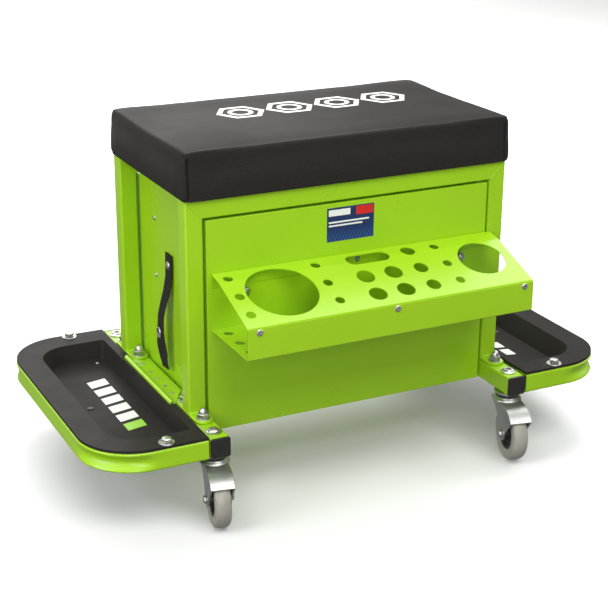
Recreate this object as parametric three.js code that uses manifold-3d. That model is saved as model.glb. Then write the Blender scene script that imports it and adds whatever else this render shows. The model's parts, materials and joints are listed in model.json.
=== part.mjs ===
// A rolling workshop seat: a padded seat on a steel frame round a cabinet of three drawers,
// with a tool rack on the front, a fold-up tray on each side and four swivel castors.
// Millimetres, +Z up. +X is to the right seen from the rack side, and the drawers open towards +Y.
import * as THREE from "three";
import { mergeVertices } from "three/addons/utils/BufferGeometryUtils.js";
import Module from "manifold-3d";

const wasm = await Module();
wasm.setup();

// ---------------------------------------------------------------- driving dimensions
const GAP = 0.3; // air between pieces that touch
const SHEET = 1.2; // steel sheet
const TUBE_WALL = 1.5;

const WHEEL_RADIUS = 31.5;
const TREAD_WIDTH = 18;
const TREAD_DEPTH = 12.5;
const CASTOR_HEIGHT = 77; // floor to the underside of the base tube
const CASTOR_TRAIL = 20; // how far the axle lies behind the swivel axis
const CASTOR_YAW = (-12 * Math.PI) / 180; // all four castors swung the same way
const CASTOR_X = 183.5;
const CASTOR_Y = 150.5;
const RACE_RADIUS = 15;
const STEM_RADIUS = 4;
const FORK_WIDTH = 26;
const FORK_PLATE = 2;
const AXLE_RADIUS = 3;

const BASE_TUBE = 22; // square
const BASE_LENGTH = 339;
const CAP_THICKNESS = 3;
const TUBE_TOP = CASTOR_HEIGHT + BASE_TUBE;

const POST = 20; // square
const FRAME_HALF_WIDTH = CASTOR_X + POST / 2;
const FRAME_HALF_DEPTH = 107;
const FRAME_TOP = 337;
const FOOT_LENGTH = 69;
const FOOT_WIDTH = 20.6;
const FOOT_THICKNESS = 3;
const FOOT_BOLT_SPREAD = 25; // either side of the post's centre
const FOOT_BOLT_RADIUS = 3.3;

const CABINET_HALF_WIDTH = 170.5;
const CABINET_BOTTOM = 77.6;
const CABINET_TOP = 314.5;
const PANEL_RETURN = 12; // folded edge of the front panel

const DRAWER_FRONTS = [
  { name: "top", low: 247, high: 312 },
  { name: "middle", low: 180, high: 245 },
  { name: "bottom", low: 80.8, high: 178 },
];
const DRAWER_HALF_WIDTH = 155;
const DRAWER_BACK = -84;
const DRAWER_FRONT_HALF_WIDTH = 167.3;
const RUNNER_BELOW_FRONT_TOP = 35.4;
const RUNNER_END = 92;
const RUNNER_HALF_HEIGHT = 11;
const RAIL_HALF_HEIGHT = 8.8;

const SEAT_HALF_WIDTH = 195.3;
const SEAT_HALF_DEPTH = 110.3;
const SEAT_TOP = 388;
const SEAT_CORNER = 9;
const BOARD_THICKNESS = 12;
const BOARD_INSET = 5;

const RACK_CENTRE_X = 5;
const RACK_WIDTH = 341;
const RACK_TOP_Z = 257.5;
const RACK_LEDGE_DEPTH = 20;
const RACK_BEND_Z = 253.5; // where the ledge turns down into the slope
const RACK_FRONT_Y = -199.3;
const RACK_NOSE_Z = 227.7; // where the sloping top meets the front
const RACK_FLOOR_Z = 193;
const RACK_SEAM_Z = 241; // joint between the two halves on the back
const RACK_NOSE_FLANGE = 9;

const HINGE_X = 199;
const HINGE_RISE = 2.6; // hinge axis above the base tube
const HINGE_HALF_LENGTH = 72;
const KNUCKLES = 5;
const KNUCKLE_RADIUS = 3;
const PIN_RADIUS = 1.5;
const LEAF = 2;
const LEAF_INNER_X = 176.8;

const TRAY_INNER_X = 196.8;
const TRAY_OUTER_X = 318.5;
const TRAY_HALF_LENGTH = 168.5;
const TRAY_BEND = 62; // outer radius of the tray tube's two bends
const TRAY_BEND_DENT = 5; // how far the outer wall sinks in at a bend
const CROSS_PLATE_X = 201.7;
const RIM_THICKNESS = 3;
const RIM_INNER_X = 196.2;
const RIM_NOTCH_X = 203.1;
const RIM_NOTCH_HALF_LENGTH = 75;
const MOULDING_WALL = 2.5;
const WELL = { inner: 205.7, outer: 290, front: -141.5, back: 135 };
const WELL_DEPTH = 23; // below the top of the rim

const STRAP_WIDTH = 20;
const STRAP_THICKNESS = 1.6;

// ---------------------------------------------------------------- materials
const finish = (color, roughness, metalness) =>
  new THREE.MeshStandardMaterial({ color, roughness, metalness });
const GREEN_PAINT = finish(0x8cc820, 0.35, 0.0);
const BLACK_PLASTIC = finish(0x2b2926, 0.55, 0.0);
const BLACK_VINYL = finish(0x2e2c2a, 0.5, 0.0);
const PLYWOOD = finish(0xb48c5a, 0.8, 0.0);
const ZINC = finish(0xc2c4c2, 0.3, 1.0);
const WEBBING = finish(0x1c1b1a, 0.85, 0.0);
const GREY_RUBBER = finish(0xa09c90, 0.6, 0.0);

// ---------------------------------------------------------------- solids
const X = new THREE.Vector3(1, 0, 0);
const Y = new THREE.Vector3(0, 1, 0);
const Z = new THREE.Vector3(0, 0, 1);

function toSolid(geometry) {
  const bare = geometry.clone();
  bare.deleteAttribute("normal");
  bare.deleteAttribute("uv");
  const merged = mergeVertices(bare, 1e-4);
  const triVerts = Uint32Array.from(merged.index.array);
  const vertProperties = merged.attributes.position.array;
  return new wasm.Manifold(new wasm.Mesh({ numProp: 3, vertProperties, triVerts }));
}

function toGeometry(solid) {
  const mesh = solid.getMesh();
  const geometry = new THREE.BufferGeometry();
  const points = Float32Array.from(mesh.vertProperties);
  geometry.setAttribute("position", new THREE.BufferAttribute(points, 3));
  geometry.setIndex(new THREE.BufferAttribute(Uint32Array.from(mesh.triVerts), 1));
  geometry.computeVertexNormals();
  return geometry;
}

function join(...parts) {
  return toGeometry(parts.map(toSolid).reduce((whole, part) => whole.add(part)));
}

function cut(body, ...tools) {
  return toGeometry(tools.map(toSolid).reduce((rest, tool) => rest.subtract(tool), toSolid(body)));
}

function block(x, y, z) {
  const size = [x, y, z].map(([low, high]) => high - low);
  const centre = [x, y, z].map(([low, high]) => (low + high) / 2);
  return new THREE.BoxGeometry(...size).translate(...centre);
}

// Extrudes an outline. Along x the outline is drawn in y and z, along y in x and z, along z in x and y.
function extrude(outline, along, from, to, curveSegments = 6) {
  const settings = { depth: to - from, bevelEnabled: false, curveSegments };
  const geometry = new THREE.ExtrudeGeometry(outline, settings);
  const basis = new THREE.Matrix4();
  if (along === "x") basis.makeBasis(Y, Z, X).setPosition(from, 0, 0);
  if (along === "y") basis.makeBasis(X, Z, Y.clone().negate()).setPosition(0, to, 0);
  if (along === "z") basis.setPosition(0, 0, from);
  return geometry.applyMatrix4(basis);
}

function polygon(points) {
  return new THREE.Shape(points.map(([a, b]) => new THREE.Vector2(a, b)));
}

function roundedRectangle([a0, a1], [b0, b1], radius) {
  const shape = new THREE.Shape();
  shape.moveTo(a0 + radius, b0);
  shape.lineTo(a1 - radius, b0);
  shape.absarc(a1 - radius, b0 + radius, radius, -Math.PI / 2, 0);
  shape.lineTo(a1, b1 - radius);
  shape.absarc(a1 - radius, b1 - radius, radius, 0, Math.PI / 2);
  shape.lineTo(a0 + radius, b1);
  shape.absarc(a0 + radius, b1 - radius, radius, Math.PI / 2, Math.PI);
  shape.lineTo(a0, b0 + radius);
  shape.absarc(a0 + radius, b0 + radius, radius, Math.PI, 1.5 * Math.PI);
  return shape;
}

// A round bar centred on a point, along a direction.
function rod(radius, length, centre, direction, sides = 16) {
  const turn = new THREE.Quaternion().setFromUnitVectors(Y, direction);
  const bar = new THREE.CylinderGeometry(radius, radius, length, sides);
  return bar.applyQuaternion(turn).translate(...centre);
}

// A turned solid whose profile gives radius and height, standing on the z axis.
function turned(profile, sides) {
  const points = profile.map(([radius, height]) => new THREE.Vector2(radius, height));
  return new THREE.LatheGeometry(points, sides).rotateX(Math.PI / 2);
}

// The outline of a bent strip: the line moved sideways by the thickness, with mitred corners.
function stripOutline(line, thickness) {
  const points = line.map(([a, b]) => new THREE.Vector2(a, b));
  const normals = points.slice(1).map((point, i) => {
    const along = point.clone().sub(points[i]).normalize();
    return new THREE.Vector2(-along.y, along.x);
  });
  const offset = points.map((point, i) => {
    const before = normals[Math.max(i - 1, 0)];
    const after = normals[Math.min(i, normals.length - 1)];
    const mitre = before.clone().add(after).normalize();
    return point.clone().addScaledVector(mitre, thickness / mitre.dot(after));
  });
  return new THREE.Shape([...points, ...offset.reverse()]);
}

// Closed rings of points joined by walls, with flat ends: every ring has the same number of points.
function loft(rings) {
  const count = rings[0].length;
  const position = rings.flat().flatMap((point) => point.toArray());
  const index = [];
  for (let ring = 0; ring + 1 < rings.length; ring += 1) {
    for (let i = 0; i < count; i += 1) {
      const a = ring * count + i;
      const b = ring * count + ((i + 1) % count);
      index.push(a, b, b + count, a, b + count, a + count);
    }
  }
  const last = (rings.length - 1) * count;
  for (let i = 1; i + 1 < count; i += 1) {
    index.push(0, i + 1, i);
    index.push(last, last + i, last + i + 1);
  }
  const geometry = new THREE.BufferGeometry();
  geometry.setAttribute("position", new THREE.Float32BufferAttribute(position, 3));
  geometry.setIndex(index);
  return geometry;
}

// ---------------------------------------------------------------- assembly helpers
const model = new THREE.Group();

function piece(name, geometry, material, parent = model) {
  const mesh = new THREE.Mesh(geometry, material);
  mesh.name = name;
  parent.add(mesh);
  return mesh;
}

// ---------------------------------------------------------------- base tubes and their caps
function baseTube() {
  const half = BASE_TUBE / 2;
  const end = BASE_LENGTH / 2 - CAP_THICKNESS - GAP;
  const across = [CASTOR_X - half, CASTOR_X + half];
  const bore = [across[0] + TUBE_WALL, across[1] - TUBE_WALL];
  const outline = roundedRectangle(across, [CASTOR_HEIGHT, TUBE_TOP], 2);
  const boreOutline = roundedRectangle(bore, [CASTOR_HEIGHT + TUBE_WALL, TUBE_TOP - TUBE_WALL], 1);
  outline.holes.push(boreOutline);
  const boltHoles = [-1, 1].map((direction) =>
    rod(STEM_RADIUS + GAP, 2 * BASE_TUBE, [CASTOR_X, direction * CASTOR_Y, CASTOR_HEIGHT + half], Z, 12),
  );
  return cut(extrude(outline, "y", -end, end, 2), ...boltHoles);
}

function endCap(end) {
  const half = BASE_TUBE / 2;
  const plug = half - TUBE_WALL - GAP;
  const middle = CASTOR_HEIGHT + half;
  const face = BASE_LENGTH / 2;
  const plugLength = 9;
  const head = roundedRectangle([CASTOR_X - half, CASTOR_X + half], [CASTOR_HEIGHT, TUBE_TOP], 2);
  const stub = roundedRectangle([CASTOR_X - plug, CASTOR_X + plug], [middle - plug, middle + plug], 1);
  const cap = join(
    extrude(head, "y", face - CAP_THICKNESS, face, 1),
    extrude(stub, "y", face - CAP_THICKNESS - plugLength, face - CAP_THICKNESS + 1, 1),
  );
  return end < 0 ? cap.rotateZ(Math.PI).translate(2 * CASTOR_X, 0, 0) : cap;
}

// ---------------------------------------------------------------- portal frames
const footTop = TUBE_TOP + GAP + FOOT_THICKNESS;

function portalOutline(inset) {
  const outer = FRAME_HALF_WIDTH - inset;
  const inner = FRAME_HALF_WIDTH - POST + inset;
  const bottom = inset > 0 ? TUBE_TOP : footTop;
  return polygon([
    [-outer, bottom],
    [-inner, bottom],
    [-inner, FRAME_TOP - POST + inset],
    [inner, FRAME_TOP - POST + inset],
    [inner, bottom],
    [outer, bottom],
    [outer, FRAME_TOP - inset],
    [-outer, FRAME_TOP - inset],
  ]);
}

function footPlate(side, postY) {
  const halfWidth = FOOT_WIDTH / 2;
  const x = side * CASTOR_X;
  const ends = [postY - FOOT_LENGTH / 2, postY + FOOT_LENGTH / 2];
  const outline = roundedRectangle([x - halfWidth, x + halfWidth], ends, halfWidth - 0.01);
  for (const spread of [-FOOT_BOLT_SPREAD, FOOT_BOLT_SPREAD]) {
    const hole = new THREE.Path();
    hole.absarc(x, postY + spread, FOOT_BOLT_RADIUS, 0, 2 * Math.PI, true);
    outline.holes.push(hole);
  }
  return extrude(outline, "z", TUBE_TOP + GAP, footTop + 0.01, 3);
}

function portalFrame(end) {
  const postY = end * (FRAME_HALF_DEPTH - POST / 2);
  const [low, high] = [postY - POST / 2, postY + POST / 2];
  const shell = join(
    extrude(portalOutline(0), "y", low, high),
    footPlate(-1, postY),
    footPlate(1, postY),
  );
  return cut(shell, extrude(portalOutline(TUBE_WALL), "y", low + TUBE_WALL, high - TUBE_WALL));
}

// ---------------------------------------------------------------- cabinet
const cabinetFront = -FRAME_HALF_DEPTH;

function frontPanel() {
  const back = cabinetFront + PANEL_RETURN;
  const half = CABINET_HALF_WIDTH;
  const pan = block([-half, half], [cabinetFront, back], [CABINET_BOTTOM, CABINET_TOP]);
  const hollow = block(
    [SHEET - half, half - SHEET],
    [cabinetFront + SHEET, back + 1],
    [CABINET_BOTTOM + SHEET, CABINET_TOP - SHEET],
  );
  return cut(pan, hollow);
}

function sidePanel() {
  const front = cabinetFront + PANEL_RETURN + GAP;
  const back = FRAME_HALF_DEPTH - GAP;
  const notch = FRAME_HALF_DEPTH - POST - 0.4; // clears the portal frames' top rails
  const top = FRAME_TOP - 0.4;
  const outer = CABINET_HALF_WIDTH;
  const flange = 13;
  const outline = polygon([
    [front, CABINET_BOTTOM],
    [back, CABINET_BOTTOM],
    [back, CABINET_TOP],
    [notch, CABINET_TOP],
    [notch, top],
    [-notch, top],
    [-notch, CABINET_TOP],
    [front, CABINET_TOP],
  ]);
  return join(
    extrude(outline, "x", outer - SHEET, outer),
    block([outer - flange, outer], [-notch, notch], [top - SHEET, top]),
    block([outer - flange, outer], [front, back], [CABINET_BOTTOM, CABINET_BOTTOM + SHEET]),
  );
}

function cabinetFloor() {
  const half = CABINET_HALF_WIDTH - SHEET - GAP;
  const under = CABINET_BOTTOM + SHEET + GAP;
  const front = cabinetFront + PANEL_RETURN + GAP;
  const lip = 8;
  const back = FRAME_HALF_DEPTH - 16;
  const line = [
    [front, under + lip],
    [front, under],
    [back, under],
  ];
  return extrude(stripOutline(line, SHEET), "x", -half, half);
}

const runnerZ = (front) => front.high - RUNNER_BELOW_FRONT_TOP;

// A channel open on one side, drawn across x and z and run along y.
function channel(openX, webX, z, halfHeight, y) {
  const line = [
    [openX, z - halfHeight],
    [webX, z - halfHeight],
    [webX, z + halfHeight],
    [openX, z + halfHeight],
  ];
  return extrude(stripOutline(line, SHEET * Math.sign(webX - openX)), "y", ...y);
}

function runner(front) {
  const webX = CABINET_HALF_WIDTH - SHEET - GAP;
  return channel(webX - 11.4, webX, runnerZ(front), RUNNER_HALF_HEIGHT, [DRAWER_BACK, RUNNER_END]);
}

function drawer(front) {
  const clearOfFront = 4;
  const wall = 1;
  const low = front.low + clearOfFront;
  const high = front.high - 2 * clearOfFront;
  const half = DRAWER_HALF_WIDTH;
  const wide = DRAWER_FRONT_HALF_WIDTH;
  const face = FRAME_HALF_DEPTH;
  const returnY = face - PANEL_RETURN;
  const box = cut(
    block([-half, half], [DRAWER_BACK, face - SHEET], [low, high]),
    block([wall - half, half - wall], [DRAWER_BACK + wall, face - SHEET - wall], [low + wall, high + 1]),
  );
  const pan = cut(
    block([-wide, wide], [returnY, face], [front.low, front.high]),
    block(
      [SHEET - wide, wide - SHEET],
      [returnY - 1, face - SHEET - 0.01],
      [front.low + SHEET, front.high - SHEET],
    ),
  );
  const webX = half + 11.9;
  const rails = [-1, 1].map((side) =>
    channel(
      side * (half - 0.5),
      side * webX,
      runnerZ(front),
      RAIL_HALF_HEIGHT,
      [DRAWER_BACK, RUNNER_END],
    ),
  );
  return join(box, pan, ...rails);
}

function drawerHandle(front) {
  const foot = FRAME_HALF_DEPTH + GAP;
  const reach = 18;
  const grip = 7;
  const outer = 58;
  const slope = 9;
  const z = runnerZ(front);
  const line = [
    [outer, foot],
    [outer - slope, foot + reach],
    [slope - outer, foot + reach],
    [-outer, foot],
    [grip + 3 - outer, foot],
    [slope + grip - outer, foot + reach - grip],
    [outer - slope - grip, foot + reach - grip],
    [outer - grip - 3, foot],
  ];
  return extrude(polygon(line), "z", z - grip, z + grip);
}

// ---------------------------------------------------------------- seat
function seatBoard() {
  const half = [SEAT_HALF_WIDTH - BOARD_INSET, SEAT_HALF_DEPTH - BOARD_INSET];
  const outline = roundedRectangle([-half[0], half[0]], [-half[1], half[1]], SEAT_CORNER);
  return extrude(outline, "z", FRAME_TOP + GAP, FRAME_TOP + GAP + BOARD_THICKNESS, 3);
}

function seatCushion() {
  const half = [SEAT_HALF_WIDTH, SEAT_HALF_DEPTH];
  const outline = roundedRectangle([-half[0], half[0]], [-half[1], half[1]], SEAT_CORNER);
  const inner = half.map((size) => size - BOARD_INSET + GAP);
  const recess = roundedRectangle([-inner[0], inner[0]], [-inner[1], inner[1]], SEAT_CORNER);
  return cut(
    extrude(outline, "z", FRAME_TOP + GAP, SEAT_TOP, 3),
    extrude(recess, "z", FRAME_TOP, FRAME_TOP + BOARD_THICKNESS + 2 * GAP, 3),
  );
}

// ---------------------------------------------------------------- tool rack
const rackBackY = cabinetFront - GAP;
const rackBendY = rackBackY - RACK_LEDGE_DEPTH;
const rackX = [RACK_CENTRE_X - RACK_WIDTH / 2, RACK_CENTRE_X + RACK_WIDTH / 2];
const slopeRun = rackBendY - RACK_FRONT_Y;
const slopeFall = RACK_BEND_Z - RACK_NOSE_Z;
const downSlope = new THREE.Vector3(0, -slopeRun, -slopeFall).normalize();
const offSlope = new THREE.Vector3(0, downSlope.z, -downSlope.y);
const onSlope = (x, s) => new THREE.Vector3(x, rackBendY, RACK_BEND_Z).addScaledVector(downSlope, s);

const CAN_HOLES = [
  { x: -105.8, s: 27.6, radius: 39 },
  { x: 137.4, s: 27, radius: 27.2 },
];
const TOOL_ROWS = [26, 55.5]; // distances down the slope
const SLIM_HOLE = 5.3; // radii of the tool holes
const SPANNER_HOLE = 8.2;
const SOCKET_HOLE = 10.2;
const TOOL_HOLES = [
  { x: -153.1, radius: SLIM_HOLE },
  { x: -52, radius: SLIM_HOLE },
  { x: -7, radius: SOCKET_HOLE },
  { x: 26.8, radius: SOCKET_HOLE },
  { x: 60.7, radius: SPANNER_HOLE },
  { x: 94.1, radius: SLIM_HOLE },
];
const LEDGE_HOLES = TOOL_HOLES.filter((hole) => hole.radius < SOCKET_HOLE);
const LEDGE_HOLE_Y = 15; // measured out from the cabinet, as is the slot's
const SLOT = { x: [-16, 36], radius: 8.8, y: 16.2 };

function rackTop() {
  const noseY = RACK_FRONT_Y + SHEET + GAP;
  const nose = RACK_NOSE_Z - (SHEET + GAP) * 0.2;
  const line = [
    [rackBackY, RACK_SEAM_Z + GAP],
    [rackBackY, RACK_TOP_Z],
    [rackBendY, RACK_BEND_Z],
    [noseY, nose],
    [noseY, nose - RACK_NOSE_FLANGE],
  ];
  const sheet = extrude(stripOutline(line, SHEET), "x", ...rackX);
  const through = 8;
  const cans = CAN_HOLES.map((hole) => rod(hole.radius, through, onSlope(hole.x, hole.s), offSlope, 28));
  const tools = TOOL_ROWS.flatMap((s) =>
    TOOL_HOLES.map((hole) => rod(hole.radius, through, onSlope(hole.x, s), offSlope, 10)),
  );
  const ledgeY = rackBackY - LEDGE_HOLE_Y;
  const ledge = LEDGE_HOLES.map((hole) =>
    rod(hole.radius, 2 * through, [hole.x, ledgeY, RACK_BEND_Z], Z, 10),
  );
  const slotY = rackBackY - SLOT.y;
  const slotOutline = roundedRectangle(
    SLOT.x,
    [slotY - SLOT.radius, slotY + SLOT.radius],
    SLOT.radius - 0.01,
  );
  const slot = extrude(slotOutline, "z", RACK_BEND_Z - through, RACK_TOP_Z + through);
  return cut(sheet, ...cans, ...tools, ...ledge, slot);
}

function rackBase() {
  const line = [
    [RACK_FRONT_Y, RACK_NOSE_Z - 1],
    [RACK_FRONT_Y, RACK_FLOOR_Z],
    [rackBackY, RACK_FLOOR_Z],
    [rackBackY, RACK_SEAM_Z],
  ];
  const sheet = extrude(stripOutline(line, SHEET), "x", ...rackX);
  const rows = [rackBackY - LEDGE_HOLE_Y, ...TOOL_ROWS.map((s) => onSlope(0, s).y)];
  const slim = TOOL_HOLES.filter((hole) => hole.radius === SLIM_HOLE);
  const through = 8;
  const holes = rows.flatMap((y) =>
    slim.map((hole) => rod(hole.radius, through, [hole.x, y, RACK_FLOOR_Z], Z, 8)),
  );
  return cut(sheet, ...holes);
}

// ---------------------------------------------------------------- tray hinges
const hingeZ = TUBE_TOP + HINGE_RISE;
const knuckleLength = (2 * HINGE_HALF_LENGTH) / KNUCKLES;
const knuckleSpan = (i) => [
  -HINGE_HALF_LENGTH + i * knuckleLength + GAP / 2,
  -HINGE_HALF_LENGTH + (i + 1) * knuckleLength - GAP / 2,
];

function knuckle(i) {
  const [low, high] = knuckleSpan(i);
  return rod(KNUCKLE_RADIUS, high - low, [HINGE_X, (low + high) / 2, hingeZ], Y, 14);
}

function pinHole() {
  return rod(PIN_RADIUS + GAP, 2 * HINGE_HALF_LENGTH + 4, [HINGE_X, 0, hingeZ], Y, 12);
}

function fixedLeaf() {
  const edge = HINGE_X - KNUCKLE_RADIUS - 0.4;
  const chamfer = 30; // length of the slanted corners
  const half = HINGE_HALF_LENGTH - 0.5;
  const plate = polygon([
    [edge, -half],
    [edge, half],
    [edge - 0.4, half],
    [LEAF_INNER_X, half - chamfer],
    [LEAF_INNER_X, chamfer - half],
    [edge - 0.4, -half],
  ]);
  const z = [TUBE_TOP + GAP, TUBE_TOP + GAP + LEAF];
  const parts = [extrude(plate, "z", ...z)];
  for (let i = 0; i < KNUCKLES; i += 2) {
    parts.push(knuckle(i), block([edge - 1, HINGE_X], knuckleSpan(i), z));
  }
  return cut(join(...parts), pinHole());
}

function movingLeaf() {
  const thickness = 1.3;
  const x = [HINGE_X + 1, HINGE_X + 1 + thickness];
  const drop = 18;
  const half = HINGE_HALF_LENGTH - knuckleLength;
  const parts = [block(x, [-half, half], [TUBE_TOP - drop, TUBE_TOP - 1])];
  for (let i = 1; i < KNUCKLES; i += 2) {
    parts.push(knuckle(i), block(x, knuckleSpan(i), [TUBE_TOP - 2, hingeZ]));
  }
  return cut(join(...parts), pinHole());
}

function hingePin() {
  return rod(PIN_RADIUS, 2 * HINGE_HALF_LENGTH, [HINGE_X, 0, hingeZ], Y, 10);
}

// ---------------------------------------------------------------- side trays
// Stations along the tray tube's outer face: point, outward direction and how far the wall sinks in.
function trayStations() {
  const stations = [];
  const steps = 7;
  const straight = TRAY_HALF_LENGTH - TRAY_BEND;
  const centreX = TRAY_OUTER_X - TRAY_BEND;
  stations.push({ x: TRAY_INNER_X, y: -TRAY_HALF_LENGTH, angle: -Math.PI / 2, dent: 0 });
  for (const [side, start] of [
    [-1, -Math.PI / 2],
    [1, 0],
  ]) {
    for (let i = 0; i <= steps; i += 1) {
      const angle = start + (i / steps) * (Math.PI / 2);
      const x = centreX + TRAY_BEND * Math.cos(angle);
      const y = side * straight + TRAY_BEND * Math.sin(angle);
      stations.push({ x, y, angle, dent: TRAY_BEND_DENT * Math.sin((i / steps) * Math.PI) ** 0.7 });
    }
  }
  stations.push({ x: TRAY_INNER_X, y: TRAY_HALF_LENGTH, angle: Math.PI / 2, dent: 0 });
  return stations;
}

// One cross-section of the tray tube, listed as distance in from the outer face and height.
function trayRing(station, inset) {
  const low = CASTOR_HEIGHT + inset;
  const high = TUBE_TOP - inset;
  const width = BASE_TUBE - inset;
  const face = inset + station.dent;
  const quarter = (high - low) / 4;
  const corner = inset > 0 ? 0.5 : 1.5;
  const section = [
    [width, low],
    [width, high],
    [inset + corner, high],
    [inset, high - corner],
    [inset + 0.7 * station.dent, high - quarter],
    [face, (low + high) / 2],
    [inset + 0.7 * station.dent, low + quarter],
    [inset, low + corner],
    [inset + corner, low],
  ];
  return section.map(([depth, z]) => {
    const x = station.x - depth * Math.cos(station.angle);
    const y = station.y - depth * Math.sin(station.angle);
    return new THREE.Vector3(x, y, z);
  });
}

function trayFrame() {
  const stations = trayStations();
  const ends = stations.map((station, i) => {
    const isEnd = i === 0 || i === stations.length - 1;
    return isEnd ? { ...station, x: station.x - 1 } : station;
  });
  const tube = cut(
    loft(stations.map((station) => trayRing(station, 0))),
    loft(ends.map((station) => trayRing(station, TUBE_WALL))),
  );
  const reach = TRAY_HALF_LENGTH - BASE_TUBE + 0.2;
  const crossPlate = block(
    [CROSS_PLATE_X, CROSS_PLATE_X + SHEET - 0.1],
    [-reach, reach],
    [CASTOR_HEIGHT + 1, TUBE_TOP - 2],
  );
  return join(tube, crossPlate);
}

// The tray tube's plan outline, drawn a little inside its outer face.
function rimOutline() {
  const inset = 0.8;
  const outer = TRAY_OUTER_X - inset;
  const half = TRAY_HALF_LENGTH - inset;
  const radius = TRAY_BEND - inset;
  const notch = RIM_NOTCH_HALF_LENGTH;
  const shape = new THREE.Shape();
  shape.moveTo(RIM_INNER_X, -half);
  shape.lineTo(outer - radius, -half);
  shape.absarc(outer - radius, radius - half, radius, -Math.PI / 2, 0);
  shape.lineTo(outer, half - radius);
  shape.absarc(outer - radius, half - radius, radius, 0, Math.PI / 2);
  shape.lineTo(RIM_INNER_X, half);
  shape.lineTo(RIM_INNER_X, notch);
  shape.lineTo(RIM_NOTCH_X, notch);
  shape.lineTo(RIM_NOTCH_X, -notch);
  shape.lineTo(RIM_INNER_X, -notch);
  return shape;
}

// One level of the well: its plan shrinks by draft at the long sides and by more at the ends.
function wellRing(z, grow, draft, endDraft) {
  const x = [WELL.inner - grow + 0.25 * draft, WELL.outer + grow - draft];
  const y = [WELL.front - grow + endDraft, WELL.back + grow - endDraft];
  const bend = 36 + grow - draft;
  const tight = 4 + grow;
  const steps = 5;
  const corners = [
    [x[0] + tight, y[0] + tight, tight, Math.PI],
    [x[1] - bend, y[0] + bend, bend, 1.5 * Math.PI],
    [x[1] - bend, y[1] - bend, bend, 0],
    [x[0] + tight, y[1] - tight, tight, 0.5 * Math.PI],
  ];
  return corners.flatMap(([cx, cy, radius, start]) =>
    Array.from({ length: steps + 1 }, (_, i) => {
      const angle = start + (i / steps) * (Math.PI / 2);
      return new THREE.Vector3(cx + radius * Math.cos(angle), cy + radius * Math.sin(angle), z);
    }),
  );
}

function well(grow, top, bottom) {
  const shoulder = bottom + 3;
  return loft([
    wellRing(bottom, grow, 11.5, 6),
    wellRing(shoulder, grow, 10, 4),
    wellRing(top, grow, 0, 0),
  ]);
}

function trayMoulding() {
  const underRim = TUBE_TOP + GAP;
  const top = underRim + RIM_THICKNESS;
  const floor = top - WELL_DEPTH;
  const rim = extrude(rimOutline(), "z", underRim, top, 9);
  const shell = join(rim, well(MOULDING_WALL, underRim + 1, floor - MOULDING_WALL));
  return cut(shell, well(0, top + 0.5, floor));
}

// ---------------------------------------------------------------- tray straps
function strap() {
  const wall = CABINET_HALF_WIDTH + GAP;
  const route = [
    [wall, 248],
    [wall + 0.4, 231],
    [wall + 2.2, 215],
    [wall + 5.4, 200],
    [wall + 8.6, 186],
    [wall + 10.2, 172],
    [wall + 10.4, 154],
    [wall + 9.6, 138],
    [wall + 8.2, 124],
    [wall + 6.8, 113.5],
  ];
  const curve = new THREE.SplineCurve(route.map(([x, z]) => new THREE.Vector2(x, z)));
  const line = curve.getPoints(18).map((point) => [point.x, point.y]);
  return extrude(stripOutline(line, STRAP_THICKNESS), "y", -STRAP_WIDTH / 2, STRAP_WIDTH / 2);
}

// ---------------------------------------------------------------- castors
const crownTop = 67;
const stemEnd = 61.8; // bottom of the peened end
const stemEndRadius = 7;
const raceHeight = 3.6;
const headRadius = 8.5;
const headHeight = 4.6;

// Bolt from the top of the base tube, fixed bearing race and peened end, on the swivel axis.
function castorStem() {
  const race = CASTOR_HEIGHT - GAP;
  const head = TUBE_TOP + GAP;
  const profile = [
    [0, stemEnd],
    [stemEndRadius, stemEnd],
    [stemEndRadius, crownTop - FORK_PLATE - GAP],
    [STEM_RADIUS, crownTop - FORK_PLATE - GAP],
    [STEM_RADIUS, race - raceHeight],
    [RACE_RADIUS - 3, race - raceHeight],
    [RACE_RADIUS, race - 2],
    [RACE_RADIUS, race],
    [STEM_RADIUS, race],
    [STEM_RADIUS, head],
    [headRadius, head],
    [headRadius - 0.5, head + 0.4 * headHeight],
    [headRadius - 3, head + headHeight - 0.4],
    [0, head + headHeight],
  ];
  return turned(profile, 12);
}

// Fork seen from the side: u runs back from the swivel axis towards the axle.
function forkSide() {
  const lip = 0.72; // angle of the crown's end above the axle, in radians
  const heel = -15; // the end of the crown behind the swivel axis
  const heelHeight = 5;
  const eye = 8; // round end of each cheek
  const eyeEnd = 2.05 * Math.PI;
  const waist = [8, 56]; // what the cheek's hollow edge is pulled towards
  const radius = crownTop - WHEEL_RADIUS;
  const shape = new THREE.Shape();
  shape.moveTo(heel, crownTop);
  shape.lineTo(heel, crownTop - heelHeight);
  shape.quadraticCurveTo(...waist, CASTOR_TRAIL - eye, WHEEL_RADIUS);
  shape.absarc(CASTOR_TRAIL, WHEEL_RADIUS, eye, Math.PI, eyeEnd);
  shape.absarc(CASTOR_TRAIL, WHEEL_RADIUS, radius, lip, Math.PI / 2);
  return shape;
}

// The space under the fork's crown, which runs round the wheel and stays open below.
function forkHollow() {
  const radius = crownTop - FORK_PLATE - WHEEL_RADIUS;
  const [near, far, below] = [-30, CASTOR_TRAIL + 60, -5]; // all clear of the fork
  const shape = new THREE.Shape();
  shape.moveTo(near, crownTop - FORK_PLATE);
  shape.lineTo(near, below);
  shape.lineTo(far, below);
  shape.lineTo(far, WHEEL_RADIUS);
  shape.lineTo(CASTOR_TRAIL + radius, WHEEL_RADIUS);
  shape.absarc(CASTOR_TRAIL, WHEEL_RADIUS, radius, 0, Math.PI / 2);
  return shape;
}

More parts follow.
